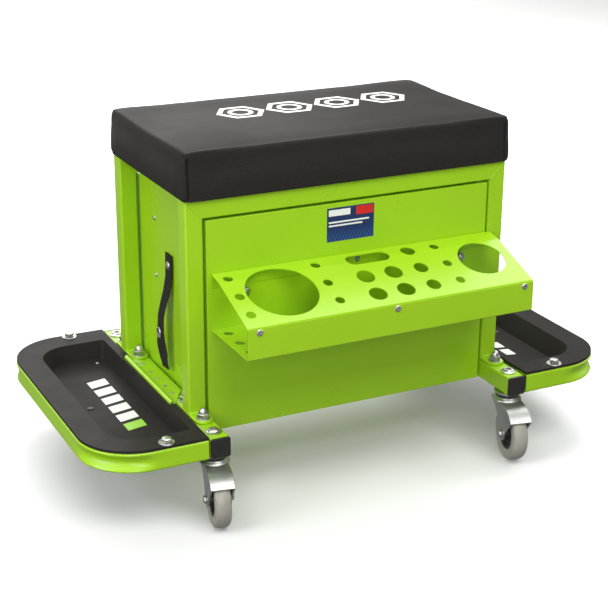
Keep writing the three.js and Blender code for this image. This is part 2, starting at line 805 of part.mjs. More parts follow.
function castorFork() {
  const half = FORK_WIDTH / 2;
  const inner = half - FORK_PLATE;
  const raceTop = CASTOR_HEIGHT - raceHeight - 2 * GAP;
  const ring = turned(
    [
      [0, crownTop - 0.5],
      [RACE_RADIUS + 1, crownTop - 0.5],
      [RACE_RADIUS + 1, crownTop + 2],
      [RACE_RADIUS - 2, raceTop],
      [0, raceTop],
    ],
    14,
  );
  const pressed = cut(extrude(forkSide(), "x", -half, half, 4), extrude(forkHollow(), "x", -inner, inner, 6));
  const fork = cut(
    join(pressed, ring),
    rod(STEM_RADIUS + 2 * GAP, CASTOR_HEIGHT / 2, [0, 0, crownTop], Z, 12),
    rod(AXLE_RADIUS + GAP, 2 * FORK_WIDTH, [0, CASTOR_TRAIL, WHEEL_RADIUS], X, 12),
  );
  return fork.rotateZ(Math.PI);
}

function castorAxle() {
  const outside = FORK_WIDTH / 2 + GAP;
  const nutRadius = 4.5;
  const nutLength = 3;
  return join(
    rod(AXLE_RADIUS, 2 * outside + 2, [0, 0, 0], X, 12),
    rod(nutRadius, nutLength, [outside + nutLength / 2, 0, 0], X, 6),
    rod(nutRadius, nutLength, [-outside - nutLength / 2, 0, 0], X, 6),
  ).translate(0, -CASTOR_TRAIL, WHEEL_RADIUS);
}

// A wheel part turned about the axle: its profile gives radius and distance across the wheel.
function wheelPart(profile, sides) {
  return turned([...profile, profile[0]], sides)
    .rotateY(Math.PI / 2)
    .translate(0, -CASTOR_TRAIL, WHEEL_RADIUS);
}

function castorHub() {
  const bore = AXLE_RADIUS + GAP;
  const rim = WHEEL_RADIUS - TREAD_DEPTH - GAP;
  const boss = FORK_WIDTH / 2 - FORK_PLATE - 0.6;
  const half = [
    [bore, boss],
    [6.5, boss],
    [7.5, 4],
    [15, 3.5],
    [16, 7.5],
    [rim, 7.5],
  ];
  const otherHalf = half.map(([radius, across]) => [radius, -across]);
  return wheelPart([...otherHalf, ...half.reverse()], 16);
}

function castorTread() {
  const half = TREAD_WIDTH / 2;
  const seat = WHEEL_RADIUS - TREAD_DEPTH;
  return wheelPart(
    [
      [seat, half - 1],
      [WHEEL_RADIUS - 5, half],
      [WHEEL_RADIUS - 1.2, half - 3],
      [WHEEL_RADIUS, 0],
      [WHEEL_RADIUS - 1.2, 3 - half],
      [WHEEL_RADIUS - 5, -half],
      [seat, 1 - half],
    ].reverse(),
    24,
  );
}

// ---------------------------------------------------------------- put together
piece("front_frame", portalFrame(-1), GREEN_PAINT);
piece("rear_frame", portalFrame(1), GREEN_PAINT);
piece("front_panel", frontPanel(), GREEN_PAINT);
piece("cabinet_floor", cabinetFloor(), GREEN_PAINT);
piece("seat_board", seatBoard(), PLYWOOD);
piece("seat_cushion", seatCushion(), BLACK_VINYL);
piece("rack_top", rackTop(), GREEN_PAINT);
piece("rack_base", rackBase(), GREEN_PAINT);

for (const front of DRAWER_FRONTS) {
  piece(`${front.name}_drawer`, drawer(front), GREEN_PAINT);
  piece(`${front.name}_drawer_handle`, drawerHandle(front), BLACK_PLASTIC);
}

// The right side is built as drawn and the left side is its mirror image.
for (const [side, sign] of [
  ["left", -1],
  ["right", 1],
]) {
  const half = new THREE.Group();
  half.scale.x = sign;
  model.add(half);
  piece(`${side}_base_tube`, baseTube(), GREEN_PAINT, half);
  piece(`${side}_side_panel`, sidePanel(), GREEN_PAINT, half);
  piece(`${side}_strap`, strap(), WEBBING, half);
  piece(`${side}_hinge_fixed_leaf`, fixedLeaf(), GREEN_PAINT, half);
  piece(`${side}_hinge_moving_leaf`, movingLeaf(), GREEN_PAINT, half);
  piece(`${side}_hinge_pin`, hingePin(), ZINC, half);
  piece(`${side}_tray_frame`, trayFrame(), GREEN_PAINT, half);
  piece(`${side}_tray_moulding`, trayMoulding(), BLACK_PLASTIC, half);
  for (const front of DRAWER_FRONTS) {
    piece(`${side}_${front.name}_runner`, runner(front), ZINC, half);
  }
  for (const [end, direction] of [
    ["front", -1],
    ["rear", 1],
  ]) {
    const corner = `${end}_${side}`;
    piece(`${corner}_end_cap`, endCap(direction), BLACK_PLASTIC, half);
    const castor = new THREE.Group();
    castor.position.set(CASTOR_X, direction * CASTOR_Y, 0);
    castor.rotation.z = sign * CASTOR_YAW;
    half.add(castor);
    piece(`${corner}_castor_stem`, castorStem(), ZINC, castor);
    piece(`${corner}_castor_fork`, castorFork(), ZINC, castor);
    piece(`${corner}_castor_axle`, castorAxle(), ZINC, castor);
    piece(`${corner}_castor_hub`, castorHub(), BLACK_PLASTIC, castor);
    piece(`${corner}_castor_tread`, castorTread(), GREY_RUBBER, castor);
  }
}

// The origin is on the floor under the middle of the whole object.
const extent = new THREE.Box3().setFromObject(model, true);
model.position.y = -(extent.min.y + extent.max.y) / 2;
model.position.z = -extent.min.z;

export default model;
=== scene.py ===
import json
import math

import bmesh
import bpy
from mathutils import Matrix, Vector, noise
from mathutils.bvhtree import BVHTree

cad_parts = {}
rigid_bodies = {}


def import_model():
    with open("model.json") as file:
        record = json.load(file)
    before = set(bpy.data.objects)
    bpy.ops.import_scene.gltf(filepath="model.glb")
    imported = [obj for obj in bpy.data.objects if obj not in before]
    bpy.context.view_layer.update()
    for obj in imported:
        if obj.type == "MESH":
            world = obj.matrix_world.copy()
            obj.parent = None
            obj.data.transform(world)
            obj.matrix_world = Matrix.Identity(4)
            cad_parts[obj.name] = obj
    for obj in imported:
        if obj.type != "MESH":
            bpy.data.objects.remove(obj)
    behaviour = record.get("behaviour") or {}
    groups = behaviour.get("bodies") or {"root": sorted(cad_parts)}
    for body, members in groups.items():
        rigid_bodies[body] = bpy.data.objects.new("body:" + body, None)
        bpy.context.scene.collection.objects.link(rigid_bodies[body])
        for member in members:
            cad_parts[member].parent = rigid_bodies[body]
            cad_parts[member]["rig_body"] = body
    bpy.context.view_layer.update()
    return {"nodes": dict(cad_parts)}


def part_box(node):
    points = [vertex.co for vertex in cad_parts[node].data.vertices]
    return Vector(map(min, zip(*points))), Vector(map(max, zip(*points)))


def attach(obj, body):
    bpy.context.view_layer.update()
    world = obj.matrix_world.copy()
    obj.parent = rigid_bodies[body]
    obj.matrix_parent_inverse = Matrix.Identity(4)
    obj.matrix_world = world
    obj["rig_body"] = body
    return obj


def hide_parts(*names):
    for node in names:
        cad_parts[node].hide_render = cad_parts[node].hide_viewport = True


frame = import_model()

# A rolling workshop seat: a vinyl pad on a lime green steel frame round a cabinet of drawers, with a
# tool rack in front, a fold-up tray on each side and four castors.
# Shapes are drawn in millimetres with the cabinet's middle at y = 0, then moved to the CAD's place.
MM = 0.001


def box(node):
    """Lowest and highest corners of a CAD node in drawing millimetres."""
    low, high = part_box(node)
    shift = Vector((0, MIDDLE_Y, 0))
    return low / MM - shift, high / MM - shift


MIDDLE_Y = (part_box("front_frame")[0].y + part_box("rear_frame")[1].y) / 2 / MM
TO_ROW = Matrix.Scale(MM, 4) @ Matrix.Translation((0, MIDDLE_Y, 0))

SHEET = 1.2
SEAT_GAP = 0.3
FRAME_TOP = box("front_frame")[1].z
TUBE_LOW, TUBE_HIGH = box("right_base_tube")
TUBE_TOP = TUBE_HIGH.z
TUBE_UNDER = TUBE_LOW.z
BASE_TUBE = TUBE_TOP - TUBE_UNDER
POST = 20.0
FOOT_TOP = TUBE_TOP + 3.3
FOOT_HALF_LENGTH = 34.5
FOOT_BOLT_SPREAD = 25.0
CASTOR_X = (TUBE_LOW.x + TUBE_HIGH.x) / 2
CASTOR_Y = 150.5
FRAME_HALF_WIDTH = CASTOR_X + POST / 2
POST_Y = 97.0
PANEL_HALF_WIDTH = box("front_panel")[1].x
TRAY_LOW, TRAY_HIGH = box("right_tray_frame")
RIM_LOW, RIM_HIGH = box("right_tray_moulding")
RACK_LOW, RACK_HIGH = box("rack_base")
RACK_TOP_HIGH = box("rack_top")[1]
SIDES = (("left", -1), ("right", 1))
ENDS = (("front", -1), ("rear", 1))


# ---------------- materials
class Nodes:
    """A principled material in the making, with short ways to add the nodes used here."""

    def __init__(self, name, color, roughness, metallic=0.0, shine=0.5):
        self.material = bpy.data.materials.new(name)
        self.material.use_nodes = True
        self.tree = self.material.node_tree
        self.shader = self.tree.nodes["Principled BSDF"]
        self.shader.inputs["Base Color"].default_value = (*color, 1)
        self.shader.inputs["Roughness"].default_value = roughness
        self.shader.inputs["Metallic"].default_value = metallic
        self.shader.inputs["Specular IOR Level"].default_value = shine
        self.place = self.add("TexCoord", "Object", {})

    def add(self, kind, output, inputs, **settings):
        """Adds a node, fills its inputs with numbers, colours or links, and gives one output."""
        node = self.tree.nodes.new("ShaderNode" + kind)
        for key, value in settings.items():
            setattr(node, key, value)
        for key, value in inputs.items():
            socket = node.inputs[key]
            if isinstance(value, bpy.types.NodeSocket):
                self.tree.links.new(value, socket)
            else:
                socket.default_value = (*value, 1) if socket.type == "RGBA" else value
        return node.outputs[output]

    def noise(self, scale, detail=3.0, stretch=(1, 1, 1)):
        place = self.add("Mapping", "Vector", {"Vector": self.place, "Scale": stretch})
        return self.add("TexNoise", "Fac", {"Vector": place, "Scale": scale, "Detail": detail})

    def cells(self, scale):
        return self.add("TexVoronoi", "Distance", {"Vector": self.place, "Scale": scale})

    def wave(self, scale, axis):
        return self.add("TexWave", "Fac", {"Vector": self.place, "Scale": scale}, bands_direction=axis)

    def math(self, operation, first, second):
        return self.add("Math", 0, {0: first, 1: second}, operation=operation)

    def span(self, value, low, high, to_low, to_high):
        """Takes the range low to high to another range."""
        ends = {"From Min": low, "From Max": high, "To Min": to_low, "To Max": to_high}
        return self.add("MapRange", "Result", {"Value": value, **ends})

    def blend(self, factor, first, second):
        return self.add("Mix", "Result", {"Factor": factor, "A": first, "B": second}, data_type="RGBA")

    def bump(self, height, distance, strength=1.0, below=None):
        inputs = {"Strength": strength, "Distance": distance, "Height": height}
        if below is not None:
            inputs["Normal"] = below
        return self.add("Bump", "Normal", inputs)

    def surface(self, color, roughness, normal=None):
        """Links what the shader is driven by and gives the finished material."""
        for name, value in (("Base Color", color), ("Roughness", roughness), ("Normal", normal)):
            if value is not None:
                self.tree.links.new(value, self.shader.inputs[name])
        return self.material


def mottled(
    name, light, dark, roughness, metallic=0.0,
    patch=9.0, spread=0.08, grain=900.0, depth=2e-5, shine=0.5,
):
    """Two close colours in soft patches, roughness that wanders by spread, and a fine grain."""
    made = Nodes(name, light, roughness, metallic, shine)
    color = made.blend(made.span(made.noise(patch), 0.35, 0.65, 0, 1), light, dark)
    wander = made.span(made.noise(patch * 4), 0.3, 0.7, roughness - spread / 2, roughness + spread / 2)
    return made.surface(color, wander, made.bump(made.noise(grain, 2.0), depth))


def powder_coat():
    """Glossy lime powder coat with orange peel and faint thick and thin patches."""
    thick, thin = (0.315, 0.575, 0.008), (0.335, 0.6, 0.012)
    made = Nodes("lime_powder_coat", thick, 0.3)
    color = made.blend(made.span(made.noise(9.0), 0.3, 0.7, 0, 1), thick, thin)
    roughness = made.span(made.noise(25.0), 0.3, 0.7, 0.27, 0.33)
    peel = made.bump(made.noise(260.0, 1.0), 1.2e-5)
    return made.surface(color, roughness, made.bump(made.noise(1500.0, 1.0), 2e-6, below=peel))


def vinyl():
    """Black upholstery vinyl: small pebbled grain, with painted shade that darkens its valleys."""
    made = Nodes("black_vinyl", (0.022, 0.02, 0.018), 0.46, shine=0.02)
    pebbles = made.cells(900.0)
    # painted shade: the colour turns darker towards the grain's valleys, where the bump is lowest
    valley_shade = made.span(pebbles, 0.1, 0.7, 0, 1)
    color = made.blend(valley_shade, (0.031, 0.029, 0.0265), (0.023, 0.021, 0.0195))
    roughness = made.span(made.noise(7.0), 0.35, 0.65, 0.4, 0.5)
    soft = made.bump(made.noise(45.0, 2.0), 1.5e-4, 0.4)
    raised = made.math("MULTIPLY", pebbles, -1.0)
    return made.surface(color, roughness, made.bump(raised, 1.2e-4, 0.55, below=soft))


def webbing():
    """Black woven strap: ribs across the strap, crossed by finer warp threads, with painted highlights on
    the rib crests and painted shade between them.
    """
    made = Nodes("black_webbing", (0.012, 0.012, 0.011), 0.85, shine=0.08)
    ribs, warp = made.wave(95.0, "Z"), made.wave(520.0, "Y")
    weave_and_shading = made.math("MULTIPLY", ribs, made.span(warp, 0, 1, 0.45, 1))
    # painted light: the rib crests get a painted highlight colour and the grooves between them a painted
    # near-black shade
    color = made.blend(weave_and_shading, (0.003, 0.003, 0.0025), (0.075, 0.072, 0.066))
    return made.surface(color, made.span(weave_and_shading, 0, 1, 0.92, 0.74), made.bump(weave_and_shading, 5e-4))


def plywood():
    """Pale plies and darker glue lines stacked in height, with grain along x."""
    made = Nodes("plywood_edge", (0.46, 0.26, 0.11), 0.75)
    grain = made.noise(40.0, 5.0, (0.12, 1, 1))
    wood = made.blend(made.span(grain, 0.3, 0.7, 0, 1), (0.50, 0.30, 0.14), (0.36, 0.20, 0.085))
    glue = made.span(made.wave(130.0, "Z"), 0.0, 0.3, 1, 0)
    color = made.blend(glue, wood, (0.17, 0.085, 0.035))
    return made.surface(color, made.span(grain, 0.2, 0.8, 0.65, 0.85), made.bump(grain, 1.5e-4))


def label_blue():
    """Printed navy film with a few lighter slanted stripes that fade away upwards."""
    navy, light = (0.012, 0.028, 0.115), (0.03, 0.12, 0.36)
    made = Nodes("label_navy", navy, 0.32)
    across, up = [made.add("SeparateXYZ", axis, {"Vector": made.place}) for axis in ("X", "Z")]
    slant = made.math("ADD", across, made.math("MULTIPLY", up, -0.6))
    repeated = made.math("FRACT", made.math("MULTIPLY", slant, 230.0), 0.0)
    stripes = made.math("LESS_THAN", repeated, 0.42)
    fade = made.span(up, 0.274, 0.287, 0.8, 0.0)
    color = made.blend(made.math("MULTIPLY", stripes, fade), navy, light)
    return made.surface(color, made.span(made.noise(80.0), 0.3, 0.7, 0.28, 0.36))


GREEN = powder_coat()
VINYL = vinyl()
WEBBING = webbing()
PLYWOOD = plywood()
LABEL = label_blue()
PLASTIC = mottled(
    "black_moulded_plastic", (0.029, 0.0265, 0.0245), (0.026, 0.0235, 0.0215), 0.4,
    grain=1300.0, depth=2e-5, shine=0.03,
)
CAP_PLASTIC = mottled(
    "black_cap_plastic", (0.02, 0.019, 0.018), (0.016, 0.015, 0.014), 0.45,
    grain=700.0, depth=4e-5,
)
ZINC = mottled(
    "zinc_plate", (0.56, 0.57, 0.55), (0.47, 0.48, 0.46), 0.4, 1.0,
    patch=50.0, spread=0.1, grain=500.0, depth=2e-6,
)
BRIGHT = mottled(
    "bright_fastener", (0.6, 0.6, 0.58), (0.52, 0.52, 0.5), 0.36, 1.0,
    patch=80.0, spread=0.08, depth=2e-6,
)
STEEL = mottled(
    "bare_runner_steel", (0.55, 0.56, 0.56), (0.42, 0.43, 0.43), 0.34, 1.0,
    patch=50.0, spread=0.16,
)
RUBBER = mottled(
    "grey_tread", (0.36, 0.345, 0.295), (0.31, 0.295, 0.25), 0.4,
    patch=40.0, spread=0.12, grain=420.0,
)
HUB = mottled("dark_hub", (0.028, 0.027, 0.025), (0.02, 0.019, 0.018), 0.5, grain=700.0)
WHITE_INK = mottled("white_ink", (0.82, 0.82, 0.8), (0.76, 0.76, 0.74), 0.42, grain=900.0, depth=5e-5)
GREEN_INK = mottled("green_ink", (0.30, 0.62, 0.03), (0.27, 0.56, 0.028), 0.4, grain=900.0, depth=4e-5)
PALE = mottled("pale_floor", (0.84, 0.84, 0.835), (0.83, 0.83, 0.825), 0.7, patch=1.5, grain=60.0)
RED_INK = mottled("label_red", (0.60, 0.022, 0.014), (0.52, 0.018, 0.012), 0.32)


# ---------------- mesh tools
SHARP = math.radians(32)


def polar(radius, angle, centre=(0, 0)):
    """A point at an angle in radians round a centre."""
    return centre[0] + radius * math.cos(angle), centre[1] + radius * math.sin(angle)


def round_angles(count):
    return [2 * math.pi * i / count for i in range(count)]


def outward(shape):
    bmesh.ops.recalc_face_normals(shape, faces=shape.faces)
    return shape


def band(shape, low, high):
    """Faces between two closed rings of the same count."""
    for i in range(len(low)):
        after = (i + 1) % len(low)
        shape.faces.new((low[i], low[after], high[after], high[i]))


def skin(shape, rings):
    """Walls through rings of points, each with the same count."""
    made = [[shape.verts.new(point) for point in ring] for ring in rings]
    for low, high in zip(made, made[1:]):
        band(shape, low, high)
    return made


def solid(rings):
    """Walls through rings of points, with flat ends."""
    shape = bmesh.new()
    made = skin(shape, rings)
    shape.faces.new(made[0][::-1])
    shape.faces.new(made[-1])
    return outward(shape)


def prism(outline, axis, low, high):
    """Extrudes an outline. Along x it is drawn in y and z, along y in x and z, along z in x and y."""
    place = {
        "x": lambda a, b, level: (level, a, b),
        "y": lambda a, b, level: (a, level, b),
        "z": lambda a, b, level: (a, b, level),
    }[axis]
    return solid([[place(a, b, level) for a, b in outline] for level in (low, high)])


def arc(centre, radius, start, end, steps):
    """Points on an arc, angles in degrees."""
    angles = [math.radians(start + (end - start) * i / steps) for i in range(steps + 1)]
    return [polar(radius, angle, centre) for angle in angles]


def rounded(a, b, radius, steps=6):
    """Rectangle outline over the ranges a and b, with round corners."""
    corners = (
        ((a[1] - radius, b[0] + radius), -90),
        ((a[1] - radius, b[1] - radius), 0),
        ((a[0] + radius, b[1] - radius), 90),
        ((a[0] + radius, b[0] + radius), 180),
    )
    return [point for centre, start in corners for point in arc(centre, radius, start, start + 90, steps)]


def lathe(profile, segments=48):
    """Turns a profile of radius and height about z. A radius of 0 closes the end."""
    shape = bmesh.new()
    rings = []
    for radius, height in profile:
        angles = round_angles(segments) if radius else [0]
        rings.append([shape.verts.new((*polar(radius, angle), height)) for angle in angles])
    for low, high in zip(rings, rings[1:]):
        for i in range(segments):
            after = (i + 1) % segments
            places = ((low, i), (low, after), (high, after), (high, i))
            shape.faces.new(list(dict.fromkeys(ring[k % len(ring)] for ring, k in places)))
    if profile[0] != profile[-1]:
        for ring in (rings[0], rings[-1]):
            if len(ring) > 1:
                shape.faces.new(ring)
    bmesh.ops.remove_doubles(shape, verts=shape.verts, dist=1e-4)
    return outward(shape)


def rod(radius, low, high, segments=32):
    return lathe([(radius, low), (radius, high)], segments)


def moved(shape, place=(0, 0, 0), turn=None):
    if turn is not None:
        bmesh.ops.transform(shape, matrix=turn.to_4x4(), verts=shape.verts)
    bmesh.ops.translate(shape, vec=Vector(place), verts=shape.verts)
    return shape


def facing(direction):
    """The turn that takes +z to a direction."""
    return Vector((0, 0, 1)).rotation_difference(Vector(direction)).to_matrix()


def gathered(shapes):
    """Several shapes in one."""
    whole = bmesh.new()
    for shape in shapes:
        mesh = bpy.data.meshes.new("part")
        shape.to_mesh(mesh)
        shape.free()
        whole.from_mesh(mesh)
        bpy.data.meshes.remove(mesh)
    return whole


def mirrored(shape, sign):
    if sign < 0:
        bmesh.ops.scale(shape, vec=(-1, 1, 1), verts=shape.verts)
        bmesh.ops.reverse_faces(shape, faces=shape.faces)
    return shape


def bevelled(shape, width, segments=3, angle=SHARP, chosen=None):
    """Rounds the edges sharper than an angle, or those that chosen picks."""
    edges = [e for e in shape.edges if len(e.link_faces) == 2 and e.calc_face_angle(0) > angle]
    if chosen is not None:
        edges = [e for e in edges if chosen(e)]
    settings = {"offset": width, "segments": segments, "profile": 0.5, "affect": "EDGES"}
    bmesh.ops.bevel(shape, geom=edges, offset_type="OFFSET", clamp_overlap=True, **settings)
    return shape


def as_object(shape, name="part"):
    mesh = bpy.data.meshes.new(name)
    shape.to_mesh(mesh)
    shape.free()
    made = bpy.data.objects.new(name, mesh)
    bpy.context.scene.collection.objects.link(made)
    return made


def applied(made):
    """The object's mesh with its modifiers, as a shape. The object is removed."""
    bpy.context.view_layer.update()
    graph = bpy.context.evaluated_depsgraph_get()
    mesh = bpy.data.meshes.new_from_object(made.evaluated_get(graph))
    shape = bmesh.new()
    shape.from_mesh(mesh)
    bpy.data.meshes.remove(mesh)
    bpy.data.objects.remove(made)
    return shape


def combined(shape, other, operation):
    """Boolean of two shapes: UNION or DIFFERENCE."""
    made, tool = as_object(shape), as_object(other, "tool")
    modifier = made.modifiers.new("cut", "BOOLEAN")
    modifier.operation = operation
    modifier.solver = "EXACT"
    modifier.use_self = True
    modifier.object = tool
    result = applied(made)
    bpy.data.objects.remove(tool)
    bmesh.ops.remove_doubles(result, verts=result.verts, dist=1e-3)
    bmesh.ops.dissolve_degenerate(result, edges=result.edges, dist=1e-3)
    return result


def finished(shape, name, material, body="frame", replaced=(), slot=None, sharp=SHARP, weighted=True):
    """Puts a shape in its place on a CAD body, with smooth shading split at sharp edges."""
    shape.transform(TO_ROW)
    made = as_object(shape, name)
    made.data.shade_smooth()
    made.data.set_sharp_from_angle(angle=sharp)
    if weighted:
        modifier = made.modifiers.new("normals", "WEIGHTED_NORMAL")
        modifier.keep_sharp = True
    made.data.materials.append(material)
    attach(made, body)
    if replaced:
        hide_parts(*replaced)
    return made


def from_cad(node):
    """A CAD node's mesh as a clean shape in drawing millimetres, flat areas merged."""
    shape = bmesh.new()
    shape.from_mesh(frame["nodes"][node].data)
    shape.transform(TO_ROW.inverted())
    bmesh.ops.remove_doubles(shape, verts=shape.verts, dist=2e-3)
    flat = {"angle_limit": math.radians(1), "use_dissolve_boundaries": False}
    bmesh.ops.dissolve_limit(shape, verts=shape.verts, edges=shape.edges, **flat)
    return shape


def refined(node, material, width, segments=2):
    """A CAD node again, with its edges rounded."""
    shape = bevelled(from_cad(node), width, segments)
    return finished(shape, node + "_fine", material, frame["nodes"][node]["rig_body"], (node,))


# ---------------- fasteners, each standing on z = 0
def hexagon(across_flats, low, high, chamfer=0.5):
    radius = across_flats / math.sqrt(3)
    inset = radius - chamfer
    levels = ((inset, low), (radius, low + chamfer), (radius, high - chamfer), (inset, high))
    return solid([[(*polar(r, angle), z) for angle in round_angles(6)] for r, z in levels])


def washer(outer, inner, thickness):
    edge = 0.25
    profile = [
        (inner, 0), (outer, 0), (outer, thickness - edge), (outer - edge, thickness),
        (inner + edge, thickness), (inner, thickness - edge), (inner, 0),
    ]
    return lathe(profile, 40)


def dome(radius, height, base=0.0):
    """Profile of a round head, from its rim to its top."""
    steps = 7
    angles = [math.pi / 2 * i / steps for i in range(steps)]
    return [(radius * math.cos(a), base + height * math.sin(a)) for a in angles] + [(0, base + height)]


def button(rim, radius, height, base):
    """Low round head on a thin flange."""
    return lathe([(rim, 0), (rim, base)] + dome(radius, height, base), 32)


def acorn_nut():
    """Dome nut on a washer."""
    cap = lathe([(4.9, 5.6)] + dome(4.7, 6.4, 6.2), 40)
    return gathered([washer(7.6, 3.4, 1.2), hexagon(11.4, 1.2, 6.2, 0.7), cap])


def tray_bolt():
    """Hexagon-head bolt with a slightly crowned top on a wide washer."""
    sheet, top = 1.2, 5.6
    crown = moved(lathe([(3.9, 0)] + dome(3.9, 0.7), 40), (0, 0, top))
    return gathered([washer(8.6, 3.4, sheet), hexagon(9.8, sheet, top, 0.8), crown])


def castor_bolt():
    """Flanged button head with a six-sided socket."""
    rim, height, socket, depth = 8.5, 3.4, 3.2, 3.0
    profile = [(0, 0), (rim, 0), (rim, 0.9), (7.6, 1.3), (6.6, 1.6), (6.0, 2.7), (5.0, height), (0, height)]
    drive = hexagon(2 * socket, height - depth, height + 2, 0.01)
    return bevelled(combined(lathe(profile, 40), drive, "DIFFERENCE"), 0.2, 2)


def pop_rivet(radius, height=1.1):
    """Flat-headed pop rivet with the dent of its broken stem."""
    hole = 1.1
    profile = [
        (radius, 0), (radius, 0.3), (radius * 0.82, height * 0.85), (radius * 0.55, height),
        (hole, height), (hole * 0.8, height * 0.35), (0, height * 0.45),
    ]
    return lathe(profile, 32)


def hex_nut():
    """Nut on a washer, with the end of its bolt standing out."""
    across, height, sheet, bolt = 9.0, 3.6, 1.0, 2.8
    body = hexagon(across, sheet, sheet + height, 0.6)
    return gathered([washer(across * 0.62, bolt + 0.2, sheet), body, rod(bolt, sheet, height + 3.0, 24)])


def spread(maker, places, direction=(0, 0, 1)):
    """One fastener made at each place, facing a direction."""
    turn = facing(direction)
    return gathered([moved(maker(), place, turn) for place in places])


def fastened(name, maker, places, direction=(0, 0, 1), body="frame", material=BRIGHT):
    return finished(spread(maker, places, direction), name, material, body)


# ---------------- frame tubes and welds
def square_tube(path, half, radius, side):
    """Square tube along a path with mitred corners. side is the tube's second cross direction."""
    points = [Vector(p) for p in path]
    flat = Vector(side)
    section = rounded((-half, half), (-half, half), radius, 4)
    rings = []
    for i, point in enumerate(points):
        before = (point - points[i - 1]).normalized() if i else (points[1] - point).normalized()
        after = (points[i + 1] - point).normalized() if i + 1 < len(points) else before
        away = before.cross(flat)
        cut_normal = (before + after).normalized()
        ring = []
        for a, b in section:
            start = point + away * a + flat * b
            ring.append(start - before * ((start - point).dot(cut_normal) / before.dot(cut_normal)))
        rings.append(ring)
    return solid(rings)


def weld(start, end, radius, ripple=2.2):
    """A straight weld bead, swelling at each ripple."""
    start, end = Vector(start), Vector(end)
    length, along = (end - start).length, (end - start).normalized()
    side = along.orthogonal().normalized()
    up = along.cross(side)
    steps = max(6, int(length / (ripple / 4)))
    rings = []
    for i in range(steps + 1):
        at = length * i / steps
        centre = start + along * at
        swell = 1 + 0.13 * math.cos(2 * math.pi * at / ripple) + 0.16 * noise.noise(centre * 0.35)
        taper = 0.55 if i in (0, steps) else 1.0
        size = radius * swell * taper
        rings.append([centre + (side * math.cos(a) + up * math.sin(a)) * size for a in round_angles(10)])
    return solid(rings)


def welded(name, beads, body="frame"):
    return finished(gathered(beads), name, GREEN, body, sharp=math.radians(80))


def foot_plate(side, post_y):
    half_width = box("front_frame")[1].x - CASTOR_X
    x = side * CASTOR_X
    along = (post_y - FOOT_HALF_LENGTH, post_y + FOOT_HALF_LENGTH)
    outline = rounded((x - half_width, x + half_width), along, half_width - 0.05, 10)
    return bevelled(prism(outline, "z", TUBE_TOP + SEAT_GAP, FOOT_TOP), 0.7)


def post_welds(side, post_y):
    """Beads where a post meets its foot plate, on the faces that can be reached with a torch."""
    x, z, reach = side * CASTOR_X, FOOT_TOP + 0.2, POST / 2 - 1
    faces = [post_y + direction * POST / 2 for direction in (-1, 1)]
    return [weld((x - reach, y, z), (x + reach, y, z), 1.5) for y in faces]


def mitre_lines(face_y):
    """The ground weld lines across the frame's two top corners, on one face."""
    lines = []
    outer, inner = FRAME_HALF_WIDTH - 1.2, FRAME_HALF_WIDTH - POST + 0.6
    for side in (-1, 1):
        outer_end = (side * outer, face_y, FRAME_TOP - 1.2)
        inner_end = (side * inner, face_y, FRAME_TOP - POST + 0.6)
        lines.append(weld(outer_end, inner_end, 0.75, 3.0))
    return lines


def portal(end, sign):
    node = end + "_frame"
    x, y, top = CASTOR_X, sign * POST_Y, FRAME_TOP - POST / 2
    path = [(-x, y, FOOT_TOP), (-x, y, top), (x, y, top), (x, y, FOOT_TOP)]
    finished(square_tube(path, POST / 2, 2.2, (0, 1, 0)), node + "_tube", GREEN, replaced=(node,))
    finished(gathered([foot_plate(side, y) for side in (-1, 1)]), node + "_feet", GREEN)
    beads = [bead for side in (-1, 1) for bead in post_welds(side, y)]
    for face in (-1, 1):
        beads += mitre_lines(y + face * (POST / 2 - 0.25))
    welded(node + "_welds", beads)
    steps = (-FOOT_BOLT_SPREAD, FOOT_BOLT_SPREAD)
    bolts = [(side * x, y + step, FOOT_TOP) for side in (-1, 1) for step in steps]
    fastened(node + "_foot_nuts", acorn_nut, bolts)


def base_tube(side, sign):
    node = side + "_base_tube"
    low, high = box(node)
    x, z = sign * CASTOR_X, (TUBE_TOP + TUBE_UNDER) / 2
    tube = square_tube([(x, low.y, z), (x, high.y, z)], BASE_TUBE / 2, 2.2, (1, 0, 0))
    finished(tube, node + "_fine", GREEN, replaced=(node,))


def end_cap(corner):
    node = corner + "_end_cap"
    finished(bevelled(from_cad(node), 0.7), corner + "_cap", CAP_PLASTIC, replaced=(node,))


# ---------------- castors
AXLE_Z = 31.5
TRAIL = 20.0
CASTOR_YAW = math.radians(-12)
FORK_HALF = 13.0
FORK_PLATE = 2.0
CROWN_TOP = 67.0
AXLE_BORE = 3.3
FORK_BACK = -15.0
BACK_UNDER = 62.0
AXLE_LUG = 8.0
SHOULDER_Z = 48.0
SKIRT_ANGLE = 0.72


def castor_place(shape, side, end, wheel=False):
    """Moves a castor part from its swivel axis, or from its wheel's centre, to one corner."""
    if wheel:
        moved(shape, (0, -TRAIL, AXLE_Z), facing((1, 0, 0)))
    return moved(shape, (side * CASTOR_X, end * CASTOR_Y, 0), Matrix.Rotation(CASTOR_YAW, 3, "Z"))


def tread():
    """Tyre section with a crowned face and a thin moulding line round its middle."""
    radius, half, seat = AXLE_Z, 9.0, 19.0
    shoulder = 4.6
    profile = [(seat, 1 - half), (radius - 7.5, -half)]
    for i in range(9):
        angle = math.radians(-78 + 78 * i / 8)
        crown = radius - shoulder + (shoulder - 0.15) * math.cos(angle) ** 0.8
        profile.append((crown, (half - 0.3) * math.sin(angle)))
    line = [(radius - 0.12, -0.35), (radius, -0.15)]
    profile = profile[:-1] + line
    profile += [(r, -z) for r, z in reversed(profile)]
    return lathe(profile + profile[:1], 96)


